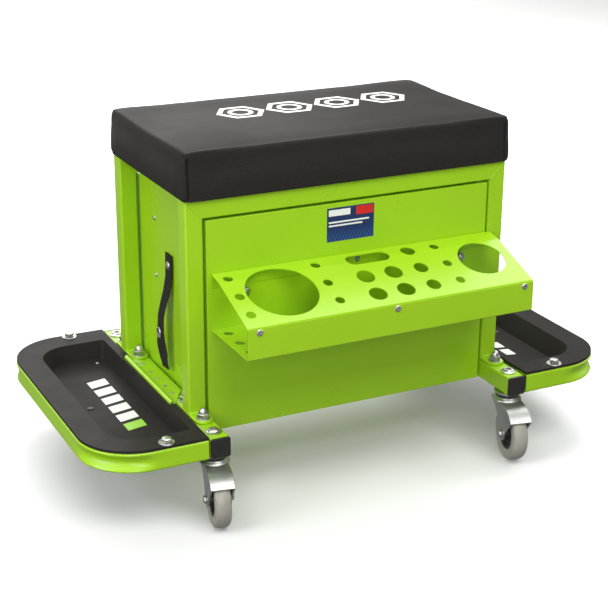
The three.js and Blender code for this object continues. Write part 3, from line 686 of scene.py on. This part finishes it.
def hub():
    """Wheel centre: boss, thin web with a raised ring, and the rim that holds the tyre."""
    boss, rim = FORK_HALF - FORK_PLATE - 0.6, 18.7
    half = [
        (3.3, boss - 0.4), (3.7, boss), (6.1, boss), (6.5, boss - 0.4), (7.2, 4.6), (8.0, 4.0),
        (14.2, 3.5), (15.2, 4.2), (15.9, 7.0), (16.3, 7.5), (rim, 7.5),
    ]
    profile = [(r, -z) for r, z in half] + half[::-1]
    return lathe(profile + profile[:1], 64)


def fork_profile():
    """Fork seen from the side, as distance from the swivel axis towards the axle, and height."""
    start, end = Vector((FORK_BACK, BACK_UNDER)), Vector((TRAIL - AXLE_LUG, AXLE_Z))
    pull = Vector((8.0, 56.0))
    points = [(FORK_BACK, CROWN_TOP - 1.5)]
    for i in range(9):
        t = i / 8
        points.append(tuple(start * (1 - t) ** 2 + pull * 2 * t * (1 - t) + end * t ** 2))
    points += arc((TRAIL, AXLE_Z), AXLE_LUG, 180, 369, 14)
    points += arc((TRAIL, AXLE_Z), CROWN_TOP - AXLE_Z, math.degrees(SKIRT_ANGLE), 90, 16)
    return points + [(FORK_BACK + 1.5, CROWN_TOP)]


def fork():
    """Pressed fork: a convex crown over the wheel, two cheeks and the round seat of its bearing."""
    outer = bevelled(prism(fork_profile(), "x", -FORK_HALF, FORK_HALF), 2.4, 5, chosen=over_crown)
    inner_half, inner_top = FORK_HALF - FORK_PLATE, CROWN_TOP - FORK_PLATE
    hollow = [(-40, inner_top), (-40, -10), (TRAIL + 70, -10), (TRAIL + 70, AXLE_Z)]
    hollow += arc((TRAIL, AXLE_Z), inner_top - AXLE_Z, 0, 90, 24)
    space = bevelled(prism(hollow, "x", -inner_half, inner_half), 1.2, 3, chosen=along_profile)
    seat_top = CROWN_TOP + 3.4
    seat = lathe([
        (0, CROWN_TOP - 1), (16.6, CROWN_TOP - 1), (16.2, CROWN_TOP + 0.6), (15.2, CROWN_TOP + 1.6),
        (14.0, seat_top - 1), (13.4, seat_top), (0, seat_top),
    ], 48)
    shape = combined(outer, seat, "UNION")
    swivel_bore = rod(4.6, CROWN_TOP - 8, CROWN_TOP + 10)
    axle_bore = moved(rod(AXLE_BORE, -30, 30), (0, TRAIL, AXLE_Z), facing((1, 0, 0)))
    for cut in (space, swivel_bore, axle_bore):
        shape = combined(shape, cut, "DIFFERENCE")
    return moved(shape, turn=Matrix.Rotation(math.pi, 3, "Z"))


def along_profile(edge):
    """True for an edge that lies in a plane of constant x."""
    return abs(edge.verts[0].co.x - edge.verts[1].co.x) < 1e-4


def over_crown(edge):
    return along_profile(edge) and all(vertex.co.z > SHOULDER_Z for vertex in edge.verts)


def stem():
    """Swivel bearing: dust cover under the tube, the races, and the peened end inside the fork."""
    race = TUBE_UNDER - 0.3
    profile = [
        (0, 61.8), (6.2, 61.8), (7.0, 62.4), (7.0, 64.7), (4, 64.7), (4, race - 3.6), (12.4, race - 3.6),
        (14.2, race - 2.6), (15.0, race - 1.6), (15.0, race - 0.4), (14.6, race), (4, race),
        (4, TUBE_TOP), (0, TUBE_TOP),
    ]
    bearing = lathe(profile, 56)
    return gathered([bearing, moved(castor_bolt(), (0, 0, TUBE_TOP + SEAT_GAP))])


def axle():
    """Axle bolt with a low hexagon head one side and a lock nut the other."""
    outside, flats = FORK_HALF + 0.3, 7.6
    boss = moved(lathe([(0, 0), (2.8, 0)] + dome(2.8, 1.0, 0.2), 24), (0, 0, 2.3))
    head = gathered([hexagon(flats, 0, 2.4), boss])
    collar = moved(lathe([(3.6, 0)] + dome(3.6, 1.0, 0.2), 24), (0, 0, 2.1))
    nut = gathered([hexagon(flats, 0, 2.2), collar])
    ends = [moved(head, (0, 0, outside)), moved(nut, (0, 0, -outside), facing((0, 0, -1)))]
    return gathered([rod(3, -outside - 1, outside + 1), *ends])


def castor(end, end_sign, side, side_sign):
    corner = f"{end}_{side}"
    swivel, wheel = corner + "_castor", corner + "_wheel"

    def put(shape, part, material, body, on_axle=False, sharp=SHARP):
        shape = castor_place(shape, side_sign, end_sign, on_axle)
        node = f"{corner}_castor_{part}"
        return finished(shape, node + "_fine", material, body, (node,), sharp=sharp)

    put(stem(), "stem", BRIGHT, "frame")
    put(fork(), "fork", ZINC, swivel)
    put(axle(), "axle", ZINC, swivel, True)
    put(hub(), "hub", HUB, wheel, True)
    put(tread(), "tread", RUBBER, wheel, True, math.radians(50))


# ---------------- side trays
TRAY_BEND = 62.0
DENT = 6.0
CROSS_PLATE_X = 201.7
NOTCH_X = 203.1
NOTCH_HALF = 75.0


def tray_section(dent, inset):
    """Tray tube cross-section as depth in from the outer face and height: flat, or sunken at a bend."""
    low, high = TUBE_UNDER + inset, TUBE_TOP - inset
    width, corner = BASE_TUBE - inset, 2.2 - inset * 0.6
    points = arc((width - corner, low + corner), corner, -90, 0, 3)
    points += arc((width - corner, high - corner), corner, 0, 90, 3)
    points += arc((inset + corner, high - corner), corner, 90, 180, 4)
    face = 12
    for i in range(1, face):
        t = i / face
        z = high - corner + (low - high + 2 * corner) * t
        points.append((inset + dent * math.sin(math.pi * t) ** 1.4, z))
    return points + arc((inset + corner, low + corner), corner, 180, 270, 4)


def tray_stations():
    """Points along the tube's outer face: x, y, outward angle in degrees, and how far the wall sinks."""
    outer, half = TRAY_HIGH.x, TRAY_HIGH.y
    centre_x, straight = outer - TRAY_BEND, half - TRAY_BEND
    leg = [(TRAY_LOW.x, 0), (centre_x - 22, 0), (centre_x - 6, 0.6)]
    stations = [(x, -half, -90.0, dent) for x, dent in leg]
    steps = 20
    for side, start in ((-1, -90), (1, 0)):
        for i in range(steps + 1):
            angle = start + 90 * i / steps
            x, y = polar(TRAY_BEND, math.radians(angle), (centre_x, side * straight))
            stations.append((x, y, angle, DENT * (0.1 + 0.9 * math.sin(math.pi * i / steps) ** 0.6)))
        if side < 0:
            between = ((10 - straight, 0.2), (24 - straight, 0), (straight - 24, 0), (straight - 10, 0.2))
            stations += [(outer, y, 0.0, dent) for y, dent in between]
    return stations + [(x, half, 90.0, dent) for x, dent in leg[::-1]]


def tray_rings(inset):
    rings = []
    for x, y, angle, dent in tray_stations():
        inward = -Vector((*polar(1, math.radians(angle)), 0))
        rings.append([Vector((x, y, z)) + inward * depth for depth, z in tray_section(dent, inset)])
    return rings


def tray_tube():
    """Open tube with a wall: outer and inner skins joined at both ends."""
    shape, wall = bmesh.new(), 1.5
    outer, inner = skin(shape, tray_rings(0)), skin(shape, tray_rings(wall))
    for end in (0, -1):
        band(shape, outer[end], inner[end])
    return outward(shape)


def cross_plate():
    half = TRAY_HIGH.y - BASE_TUBE + 0.4
    outline = rounded((-half, half), (TUBE_UNDER + 1, TUBE_TOP - 2), 0.3, 1)
    return prism(outline, "x", CROSS_PLATE_X, CROSS_PLATE_X + 1.1)


def tray_frame(side, sign):
    node, body = side + "_tray_frame", side + "_tray"
    shape = mirrored(gathered([tray_tube(), cross_plate()]), sign)
    finished(shape, node + "_fine", GREEN, body, (node,))
    under_x, plate_x, under_z = TRAY_LOW.x + 4.4, CROSS_PLATE_X + 1.9, TUBE_UNDER + 0.3
    beads = []
    for end in (-1, 1):
        y, face = end * (TRAY_HIGH.y - BASE_TUBE / 2), end * (TRAY_HIGH.y - BASE_TUBE)
        beads.append(weld((under_x, y - 9, under_z), (under_x, y + 9, under_z), 1.2))
        beads.append(weld((plate_x, face, TUBE_UNDER + 2), (plate_x, face, TUBE_TOP - 3), 1.2))
    welded(node + "_welds", [mirrored(gathered(beads), sign)], body)


WELL = {"x": (205.7, 290.0), "y": (-141.5, 135.0)}
MOULDING_WALL = 2.5


def rim_outline():
    inset = 0.8
    outer, half = TRAY_HIGH.x - inset, TRAY_HIGH.y - inset
    radius = TRAY_BEND - inset
    points = [(RIM_LOW.x, -half)]
    points += arc((outer - radius, radius - half), radius, -90, 0, 24)
    points += arc((outer - radius, half - radius), radius, 0, 90, 24)
    inner, notch = RIM_LOW.x, NOTCH_HALF
    return points + [(inner, half), (inner, notch), (NOTCH_X, notch), (NOTCH_X, -notch), (inner, -notch)]


def well_ring(z, grow, draft, end_draft):
    x = (WELL["x"][0] - grow + 0.25 * draft, WELL["x"][1] + grow - draft)
    y = (WELL["y"][0] - grow + end_draft, WELL["y"][1] + grow - end_draft)
    wide, tight = 36 + grow - draft, 4 + grow
    ring = arc((x[0] + tight, y[0] + tight), tight, 180, 270, 6)
    ring += arc((x[1] - wide, y[0] + wide), wide, 270, 360, 14)
    ring += arc((x[1] - wide, y[1] - wide), wide, 0, 90, 14)
    ring += arc((x[0] + tight, y[1] - tight), tight, 90, 180, 6)
    return [Vector((a, b, z)) for a, b in ring]


def well(grow, top, floor):
    """Levels from the floor up: a small round, then steep walls."""
    levels = [(0, 11.5, 6), (0.5, 10.8, 5), (1.4, 10.3, 4.4), (3, 10, 4)]
    rings = [well_ring(floor + up, grow, draft, end) for up, draft, end in levels]
    return solid(rings + [well_ring(top, grow, 0, 0)])


def tray_moulding(side, sign):
    node = side + "_tray_moulding"
    top, under = RIM_HIGH.z, TUBE_TOP + SEAT_GAP
    floor = RIM_LOW.z + MOULDING_WALL
    rim = prism(rim_outline(), "z", under, top)
    shape = combined(rim, well(MOULDING_WALL, under + 1, floor - MOULDING_WALL), "UNION")
    shape = combined(shape, well(0, top + 0.5, floor), "DIFFERENCE")
    shape = bevelled(shape, 0.9, 4, math.radians(40))
    finished(mirrored(shape, sign), node + "_fine", PLASTIC, side + "_tray", (node,))
    return floor


def tray_marks(side, sign, floor):
    """Plain slanted bars printed on the tray's floor, the last one green."""
    body = side + "_tray"
    thickness, width, gap, slant = 0.12, 17.5, 7.0, -5.0
    first, inner, outer = -66.0, 226.5, 249.5
    bars = []
    for i in range(6):
        y = first + i * (width + gap)
        outline = [(inner, y), (outer, y + slant), (outer, y + width + slant), (inner, y + width)]
        bars.append(prism(outline, "z", floor, floor + thickness))
    order = bars if sign > 0 else bars[::-1]
    green = order.pop(-1)
    finished(mirrored(gathered(order), sign), side + "_tray_bars", WHITE_INK, body, slot="black_plastic")
    finished(mirrored(green, sign), side + "_tray_green_bar", GREEN_INK, body)


def tray_fasteners(side, sign, floor):
    body = side + "_tray"
    spots = [(sign * 240, end * 160, RIM_HIGH.z) for end in (-1, 1)]
    stud, rivet = [(sign * 268, 0, floor)], [(sign * 219, 121, floor)]
    fastened(side + "_tray_bolts", tray_bolt, spots, body=body)
    finished(spread(lambda: button(4.4, 4.2, 1.3, 0.3), stud), side + "_tray_stud", CAP_PLASTIC, body)
    fastened(side + "_tray_rivet", lambda: pop_rivet(2.4, 0.9), rivet, body=body, material=ZINC)


def hinge(side, sign):
    refined(side + "_hinge_fixed_leaf", GREEN, 0.35)
    refined(side + "_hinge_moving_leaf", GREEN, 0.3)
    refined(side + "_hinge_pin", ZINC, 0.25)
    leaf_top = box(side + "_hinge_fixed_leaf")[0].z + 2
    heads = [(sign * 188.5, y, leaf_top) for y in (46, 21, 0, -23, -44)]
    fastened(side + "_hinge_rivets", lambda: pop_rivet(3.0, 1.0), heads)


# ---------------- straps
STRAP_ROUTE = (
    (171.4, 248, -4), (171.4, 235, -4), (171.8, 221, -3.5), (174.5, 205, -2.5), (177.0, 194, -1.5),
    (179.0, 185, -0.5), (180.7, 175, 0.5), (181.0, 166, 1), (181.1, 154, 1.2), (180.8, 142, 1),
    (179.5, 132, 0.5), (178.9, 124, 0), (177.0, 113, -1),
)


def catmull(points, steps):
    """A smooth curve through points, given as tuples of the same length."""
    padded = [points[0], *points, points[-1]]
    curve = []
    for a, b, c, d in zip(padded, padded[1:], padded[2:], padded[3:]):
        for i in range(steps):
            t = i / steps
            square, cube = t * t, t ** 3
            outer = (2 * square - cube - t, cube - square)
            weights = (outer[0], 2 - 5 * square + 3 * cube, t + 4 * square - 3 * cube, outer[1])
            curve.append([sum(w * v for w, v in zip(weights, values)) / 2 for values in zip(a, b, c, d)])
    return curve + [list(points[-1])]


def strap_points():
    """Along the strap: centre, its width's direction and its normal."""
    line = catmull(STRAP_ROUTE, 10)
    placed = []
    for i, (x, z, y) in enumerate(line):
        a, b = line[max(i - 1, 0)], line[min(i + 1, len(line) - 1)]
        along = Vector((b[0] - a[0], b[2] - a[2], b[1] - a[1])).normalized()
        twist = math.radians(9 * bell(z - 137, 13) - 5 * bell(z - 185, 30))
        across = Vector((math.sin(twist), math.cos(twist), 0))
        across = (across - along * across.dot(along)).normalized()
        placed.append((Vector((x + 0.9, y, z)), across, across.cross(along).normalized()))
    return placed


def strap(side, sign):
    """Flat webbing with rounded selvedges, cut square at both ends."""
    half_width, half_thick = 9.6, 0.75
    rings = []
    for centre, across, out in strap_points():
        section = rounded((-half_width, half_width), (-half_thick, half_thick), half_thick * 0.95, 4)
        rings.append([centre + across * a + out * (b - 0.25 * (a / half_width) ** 2) for a, b in section])
    node = side + "_strap"
    finished(mirrored(solid(rings), sign), node + "_webbing", WEBBING, replaced=(node,))
    rivet = [(sign * 173.3, -4, 235)]
    fastened(node + "_rivet", lambda: button(4.6, 4.3, 1.8, 0.4), rivet, (sign, 0, 0))
    ring = [(6.2, 0), (6.4, 0.8), (5.8, 1.5), (4.8, 1.6), (4.0, 1.1), (2.4, 0.8), (0, 0.7)]
    stud = [(sign * 182.9, 3.6, 155)]
    fastened(node + "_press_stud", lambda: lathe(ring, 40), stud, (sign, 0.05, 0))


# ---------------- tool rack
RACK_BACK = RACK_HIGH.y
BEND_Y = RACK_BACK - 20
LEDGE_Z = RACK_TOP_HIGH.z
BEND_Z = LEDGE_Z - 4.0
NOSE_Z = 227.7
SEAM_Z = 241.0
SLOPE = Vector((0, RACK_LOW.y - BEND_Y, NOSE_Z - BEND_Z)).normalized()
OFF_SLOPE = Vector((0, SLOPE.z, -SLOPE.y))
CANS = ((-105.8, 27.6, 39.0), (137.4, 27.0, 27.2))
SLIM_HOLE, SPANNER_HOLE, SOCKET_HOLE = 5.3, 8.2, 10.2
TOOL_X = (
    (-153.1, SLIM_HOLE), (-52, SLIM_HOLE), (-7, SOCKET_HOLE),
    (26.8, SOCKET_HOLE), (60.7, SPANNER_HOLE), (94.1, SLIM_HOLE),
)
LEDGE_X = [(x, radius) for x, radius in TOOL_X if radius < SOCKET_HOLE]
LEDGE_HOLE_Y = RACK_BACK - 15
TOOL_ROWS = (26, 55.5)


def on_slope(x, s):
    return Vector((x, BEND_Y, BEND_Z)) + SLOPE * s


def leftward(direction):
    return Vector((-direction.y, direction.x))


def folded(line, thickness, radii):
    """Outline of a bent sheet: the line with rounded bends, and the same line moved to its left."""
    points = [Vector(p) for p in line]
    first, last = (points[1] - points[0]).normalized(), (points[-1] - points[-2]).normalized()
    inner, outer = [points[0]], [points[0] + leftward(first) * thickness]
    for before, at, after, radius in zip(points, points[1:], points[2:], radii):
        a, b = (at - before).normalized(), (after - at).normalized()
        turn = math.atan2(a.x * b.y - a.y * b.x, a.dot(b))
        near = radius if turn > 0 else -radius - thickness
        reach = abs(near) * math.tan(abs(turn) / 2)
        start = at - a * reach
        centre = start + leftward(a) * near
        scale = 1 - thickness / near
        steps = 6
        for i in range(steps + 1):
            spoke = Matrix.Rotation(turn * i / steps, 2) @ (start - centre)
            inner.append(centre + spoke)
            outer.append(centre + spoke * scale)
    inner.append(points[-1])
    outer.append(points[-1] + leftward(last) * thickness)
    return [tuple(p) for p in inner + outer[::-1]]


def rack_top():
    nose_y = RACK_LOW.y + SHEET + SEAT_GAP
    line = [(RACK_BACK, SEAM_Z + 0.3), (RACK_BACK, LEDGE_Z), (BEND_Y, BEND_Z)]
    line += [(nose_y, NOSE_Z - 0.3), (nose_y, NOSE_Z - 9.3)]
    sheet = prism(folded(line, SHEET, (1.5, 1.5, 1.3)), "x", RACK_LOW.x, RACK_HIGH.x)
    turn = facing(OFF_SLOPE)
    holes = [moved(rod(radius, -6, 6, 72), on_slope(x, s), turn) for x, s, radius in CANS]
    for x, radius in TOOL_X:
        holes += [moved(rod(radius, -4, 4, 40), on_slope(x, s), turn) for s in TOOL_ROWS]
    holes += [moved(rod(radius, -8, 8, 40), (x, LEDGE_HOLE_Y, BEND_Z)) for x, radius in LEDGE_X]
    slot = rounded((-16, 36), (RACK_BACK - 25, RACK_BACK - 7.4), 8.75, 10)
    holes.append(prism(slot, "z", BEND_Z - 8, LEDGE_Z + 8))
    shape = combined(sheet, gathered(holes), "DIFFERENCE")
    finished(bevelled(shape, 0.28, 2), "rack_top_fine", GREEN, replaced=("rack_top",))


def rack_base():
    front, back, floor = RACK_LOW.y, RACK_BACK, RACK_LOW.z
    line = [(front, NOSE_Z - 1.4), (front, floor), (back, floor), (back, SEAM_Z)]
    sheet = prism(folded(line, SHEET, (1.5, 1.5)), "x", RACK_LOW.x, RACK_HIGH.x)
    rows = [LEDGE_HOLE_Y] + [on_slope(0, s).y for s in TOOL_ROWS]
    slim = [x for x, radius in TOOL_X if radius == SLIM_HOLE]
    holes = [moved(rod(SLIM_HOLE, -4, 4, 40), (x, y, floor)) for y in rows for x in slim]
    shape = combined(sheet, gathered(holes), "DIFFERENCE")
    finished(bevelled(shape, 0.28, 2), "rack_base_fine", GREEN, replaced=("rack_base",))


def rack_fasteners():
    forward = (0, -1, 0)
    front, back = RACK_LOW.y, RACK_BACK - SHEET
    nose = [(x, front, 222) for x in (-152.5, 5.8, 164.1)]
    fastened("rack_rivets", lambda: pop_rivet(3.7, 1.2), nose, forward)
    fastened("rack_seam_rivet", lambda: pop_rivet(3.4, 1.2), [(5.6, back, 249)], forward)
    fastened("rack_bolts", hex_nut, [(x, back, 232.5) for x in (-128, 137)], forward)


# ---------------- cabinet
DRAWERS = ("top", "middle", "bottom")


def cabinet():
    refined("front_panel", GREEN, 0.55, 3)
    refined("cabinet_floor", GREEN, 0.3)
    refined("seat_board", PLYWOOD, 0.6)
    for drawer in DRAWERS:
        refined(drawer + "_drawer", GREEN, 0.4)
        refined(drawer + "_drawer_handle", CAP_PLASTIC, 2.4, 4)
    for side, sign in SIDES:
        refined(side + "_side_panel", GREEN, 0.3)
        for drawer in DRAWERS:
            refined(f"{side}_{drawer}_runner", STEEL, 0.25)
        heads = [(sign * PANEL_HALF_WIDTH, y, z) for y in (-42, 42) for z in (276.6, 209.5, 142.4)]
        fastened(side + "_panel_rivets", lambda: pop_rivet(3.1), heads, (sign, 0, 0))


def cabinet_label():
    """Sticker with a red block, a pale block and two plain pale lines in place of print."""
    y = box("front_panel")[0].y
    film, ink = (y - 0.15, y), (y - 0.25, y - 0.1)
    finished(prism(rounded((-31, 26), (272, 309.7), 1.0, 3), "y", *film), "panel_label", LABEL)
    finished(prism(rounded((4, 25), (299, 308.6), 0.8, 3), "y", *ink), "panel_label_red", RED_INK)
    marks = [((-29, -3), (300.5, 307.5)), ((-29, 20), (292.6, 294.4)), ((-29, 12), (288.8, 290.6))]
    pale = gathered([prism(rounded(a, b, 0.7, 3), "y", *ink) for a, b in marks])
    finished(pale, "panel_label_lines", WHITE_INK, slot="green_paint")


# ---------------- seat
CUSHION_LOW, CUSHION_HIGH = box("seat_cushion")
CLOTH_FRAMES = 20
CLOTH_CAP = 2.2
SMOOTHING = 10
EDGE_CRISPNESS = 2.2
PLEAT_PLACE = 5.5
PLEAT_WIDTH = 1.2
PLEAT_DEPTH = 2.6


def cushion_start():
    """The foam block that the cover is inflated from."""
    x, y = CUSHION_HIGH.x, CUSHION_HIGH.y
    return prism(rounded((-x, x), (-y, y), 3, 3), "z", CUSHION_LOW.z, CUSHION_HIGH.z)


def remeshed(shape, voxel):
    made = as_object(shape)
    modifier = made.modifiers.new("voxels", "REMESH")
    modifier.mode = "VOXEL"
    modifier.voxel_size = voxel
    return applied(made)


def inflated(shape):
    """Blows the cover up with cloth pressure, its underside held, and caps how far it moves."""
    rest = [v.co.copy() for v in shape.verts]
    shape.transform(Matrix.Scale(MM, 4))
    held_below = (CUSHION_LOW.z + 5) * MM
    made = as_object(shape, "cover")
    held = made.vertex_groups.new(name="held")
    held.add([v.index for v in made.data.vertices if v.co.z < held_below], 1.0, "REPLACE")
    modifier = made.modifiers.new("cloth", "CLOTH")
    settings = modifier.settings
    settings.use_pressure = True
    settings.uniform_pressure_force = 4.0
    settings.vertex_group_mass = "held"
    settings.effector_weights.gravity = 0.0
    settings.tension_stiffness = 25
    settings.compression_stiffness = 25
    settings.bending_stiffness = 2.0
    modifier.point_cache.frame_start = 1
    modifier.point_cache.frame_end = CLOTH_FRAMES
    for step in range(1, CLOTH_FRAMES + 1):
        bpy.context.scene.frame_set(step)
    result = applied(made)
    result.transform(Matrix.Scale(1 / MM, 4))
    travels = [vertex.co - start for vertex, start in zip(result.verts, rest)]
    capped = [t if t.length < CLOTH_CAP else t * (CLOTH_CAP / t.length) for t in travels]
    for vertex, start, travel in zip(result.verts, rest, evened(result, capped)):
        vertex.co = start + travel
    return result


def evened(shape, travels):
    """Averages each point's travel with its neighbours', so the cover swells without wrinkles."""
    around = [[edge.other_vert(vertex).index for edge in vertex.link_edges] for vertex in shape.verts]
    for _ in range(SMOOTHING):
        travels = [
            (travel + sum((travels[i] for i in near), Vector())) / (len(near) + 1)
            for travel, near in zip(travels, around)
        ]
    return travels


def subdivided(shape):
    made = as_object(shape)
    modifier = made.modifiers.new("smooth", "SUBSURF")
    modifier.levels = modifier.render_levels = 1
    return applied(made)


def bell(distance, width):
    return math.exp(-((distance / width) ** 2))


def pleat_depth(point):
    """How far the sewn corner folds and the slack beside them pull the cover in at a point."""
    end_y = abs(point.y) > CUSHION_HIGH.y - 8
    from_corner = CUSHION_HIGH.x - abs(point.x)
    fade = min(1.0, max(0.0, (CUSHION_HIGH.z - 5 - point.z) / 4))
    groove = PLEAT_DEPTH * bell(from_corner - PLEAT_PLACE, PLEAT_WIDTH) * fade if end_y else 0.0
    height = (point.z - CUSHION_LOW.z) / (CUSHION_HIGH.z - CUSHION_LOW.z)
    slack = 0.5 * bell(from_corner - 14 - 46 * height, 13) + 0.3 * bell(from_corner - 60 + 30 * height, 16)
    return groove + slack * math.sin(math.pi * min(1.0, max(0.0, height)))


def crisper(shape):
    """Draws the rounded edges out, as a cover sewn to a box is pulled tight over its foam."""
    shape.normal_update()
    for vertex in shape.verts:
        x, y, z = (abs(part) for part in vertex.normal)
        turn = max(min(z, math.hypot(x, y)), min(x, y)) / math.sqrt(0.5)
        vertex.co += vertex.normal * EDGE_CRISPNESS * turn ** 2
    return shape


def dressed(shape):
    """Presses the corner folds in and gives the cover slow, shallow unevenness."""
    shape.normal_update()
    for vertex in shape.verts:
        on_side = abs(vertex.normal.z) < 0.75 and vertex.co.z > CUSHION_LOW.z + 1
        wander = 0.28 * noise.noise(vertex.co * 0.022) + 0.12 * noise.noise(vertex.co * 0.06)
        if vertex.co.z > CUSHION_LOW.z + 3:
            vertex.co += vertex.normal * wander
        if on_side:
            vertex.co -= vertex.normal * pleat_depth(vertex.co)
    return shape


def near_corner(edge):
    middle = (edge.verts[0].co + edge.verts[1].co) / 2
    return CUSHION_HIGH.x - abs(middle.x) < 16 and CUSHION_HIGH.y - abs(middle.y) < 10


def cushion():
    shape = remeshed(cushion_start(), 4.0)
    shape = inflated(shape)
    shape = subdivided(shape)
    edges = [e for e in shape.edges if near_corner(e)]
    bmesh.ops.subdivide_edges(shape, edges=edges, cuts=1, use_grid_fill=True)
    shape = dressed(crisper(shape))
    tree = BVHTree.FromBMesh(shape)
    low, high = box("seat_board")
    room = 0.3
    outline = rounded((low.x - room, high.x + room), (low.y - room, high.y + room), 9, 6)
    shape = combined(shape, prism(outline, "z", low.z - 5, high.z + room), "DIFFERENCE")
    shading = {"sharp": math.radians(60), "weighted": False}
    made = finished(shape, "seat_pad", VINYL, replaced=("seat_cushion",), **shading)
    return tree


def draped_ring(tree, outer, inner, centre, count=6, cuts=12):
    """A printed outline with straight sides, laid on the seat's top."""
    shape = bmesh.new()
    loops = []
    for radius in (outer, (outer + inner) / 2, inner):
        spots = [Vector(polar(radius, angle)) for angle in round_angles(count)]
        pairs = list(zip(spots, spots[1:] + spots[:1]))
        line = [start.lerp(end, i / cuts) for start, end in pairs for i in range(cuts)]
        loops.append([shape.verts.new((centre[0] + p.x, centre[1] + p.y, 0)) for p in line])
    for a, b in zip(loops, loops[1:]):
        band(shape, b, a)
    ink = 0.22
    for vertex in shape.verts:
        hit = tree.ray_cast(Vector((vertex.co.x, vertex.co.y, CUSHION_HIGH.z + 30)), Vector((0, 0, -1)))[0]
        vertex.co.z = hit.z + ink
    faces = list(outward(shape).faces)
    if faces[0].normal.z < 0:
        bmesh.ops.reverse_faces(shape, faces=faces)
    thick = bmesh.ops.extrude_face_region(shape, geom=faces)
    lower = [part for part in thick["geom"] if isinstance(part, bmesh.types.BMVert)]
    bmesh.ops.translate(shape, vec=(0, 0, -ink), verts=lower)
    return outward(shape)


def seat_print(tree):
    """A row of hexagon nut outlines, printed in white."""
    count, pitch, middle = 4, 60, (18, 25)
    rings = []
    for i in range(count):
        centre = (middle[0] + (i - (count - 1) / 2) * pitch, middle[1])
        rings.append(draped_ring(tree, 29, 22.5, centre))
        rings.append(draped_ring(tree, 14.5, 9.5, centre, 24, 2))
    finished(gathered(rings), "seat_print", WHITE_INK, slot="seat_vinyl", weighted=False)


# ---------------- stage, lights and camera
def sweep(name, line):
    """Part of the stage: a line of y and z swept sideways."""
    half = 8.0
    shape = bmesh.new()
    rows = [[shape.verts.new((x, y, z)) for x in (-half, half)] for y, z in line]
    for a, b in zip(rows, rows[1:]):
        shape.faces.new((a[0], a[1], b[1], b[0]))
    made = as_object(shape, name)
    made.data.shade_smooth()
    made.data.materials.append(PALE)
    return made


def stage():
    """A pale floor, and behind it a backdrop that rises in a long curve."""
    near, join, far, radius, height = -6.0, 1.8, 4.2, 1.8, 4.5
    floor = sweep("floor", [(near, 0.0), (join, 0.0)])
    floor.visible_diffuse = False
    floor.visible_glossy = False
    curve = arc((far - radius, radius), radius, -90, 0, 24)
    sweep("backdrop", [(join, 0.0)] + curve + [(far, height)])


def area_light(name, place, aim, size, power):
    data = bpy.data.lights.new(name, "AREA")
    data.shape = "RECTANGLE"
    data.size, data.size_y = size
    data.energy = power
    made = bpy.data.objects.new(name, data)
    bpy.context.scene.collection.objects.link(made)
    made.location = place
    made.rotation_euler = (Vector(aim) - Vector(place)).to_track_quat("-Z", "Y").to_euler()


def lights():
    world = bpy.data.worlds.new("studio")
    bpy.context.scene.world = world
    world.use_nodes = True
    background = world.node_tree.nodes["Background"]
    background.inputs["Color"].default_value = (1, 1, 1, 1)
    background.inputs["Strength"].default_value = 0.25
    aim = (0, 0, 0.2)
    area_light("front_overhead", (0.1, -1.5, 2.2), aim, (1.8, 1.4), 38)
    area_light("front_left", (-1.3, -2.3, 0.9), aim, (1.2, 1.2), 24)
    area_light("left", (-2.4, -0.3, 1.3), aim, (1.4, 1.4), 33)
    area_light("left_overhead", (-1.2, -0.5, 2.2), (-0.2, 0, 0.1), (0.9, 0.9), 11)
    area_light("back_overhead", (0.92, 0.86, 2.0), aim, (1.4, 1.4), 25)
    area_light("right", (2.4, 0.2, 1.4), aim, (1.4, 1.4), 22)
    area_light("rear", (0.2, 1.9, 1.5), aim, (1.6, 1.0), 22)
    area_light("backdrop_wash", (0, 1.6, 2.8), (0, 4.2, 0.8), (3.0, 1.0), 110)


def camera():
    azimuth, elevation, roll = math.radians(-26.529), math.radians(20.628), math.radians(0.393)
    aim, distance = Vector((-4.28, MIDDLE_Y, 161.15)) * MM, 1705.54 * MM
    level = math.cos(elevation)
    back = Vector((math.sin(azimuth) * level, -math.cos(azimuth) * level, math.sin(elevation)))
    data = bpy.data.cameras.new("camera")
    data.lens = 86.58
    data.sensor_width = 36
    made = bpy.data.objects.new("camera", data)
    bpy.context.scene.collection.objects.link(made)
    made.location = aim + back * distance
    made.rotation_mode = "QUATERNION"
    upright = (-back).to_track_quat("-Z", "Y")
    made.rotation_quaternion = upright @ Matrix.Rotation(roll, 3, "Z").to_quaternion()
    bpy.context.scene.camera = made


# ---------------- put together
camera()
lights()
stage()
bpy.context.scene.view_settings.view_transform = "Standard"

cabinet()
cabinet_label()
rack_top()
rack_base()
rack_fasteners()
for end, end_sign in ENDS:
    portal(end, end_sign)
for side, sign in SIDES:
    base_tube(side, sign)
    hinge(side, sign)
    tray_frame(side, sign)
    tray_floor = tray_moulding(side, sign)
    tray_marks(side, sign, tray_floor)
    tray_fasteners(side, sign, tray_floor)
    strap(side, sign)
    for end, end_sign in ENDS:
        end_cap(f"{end}_{side}")
        castor(end, end_sign, side, sign)
seat_print(cushion())
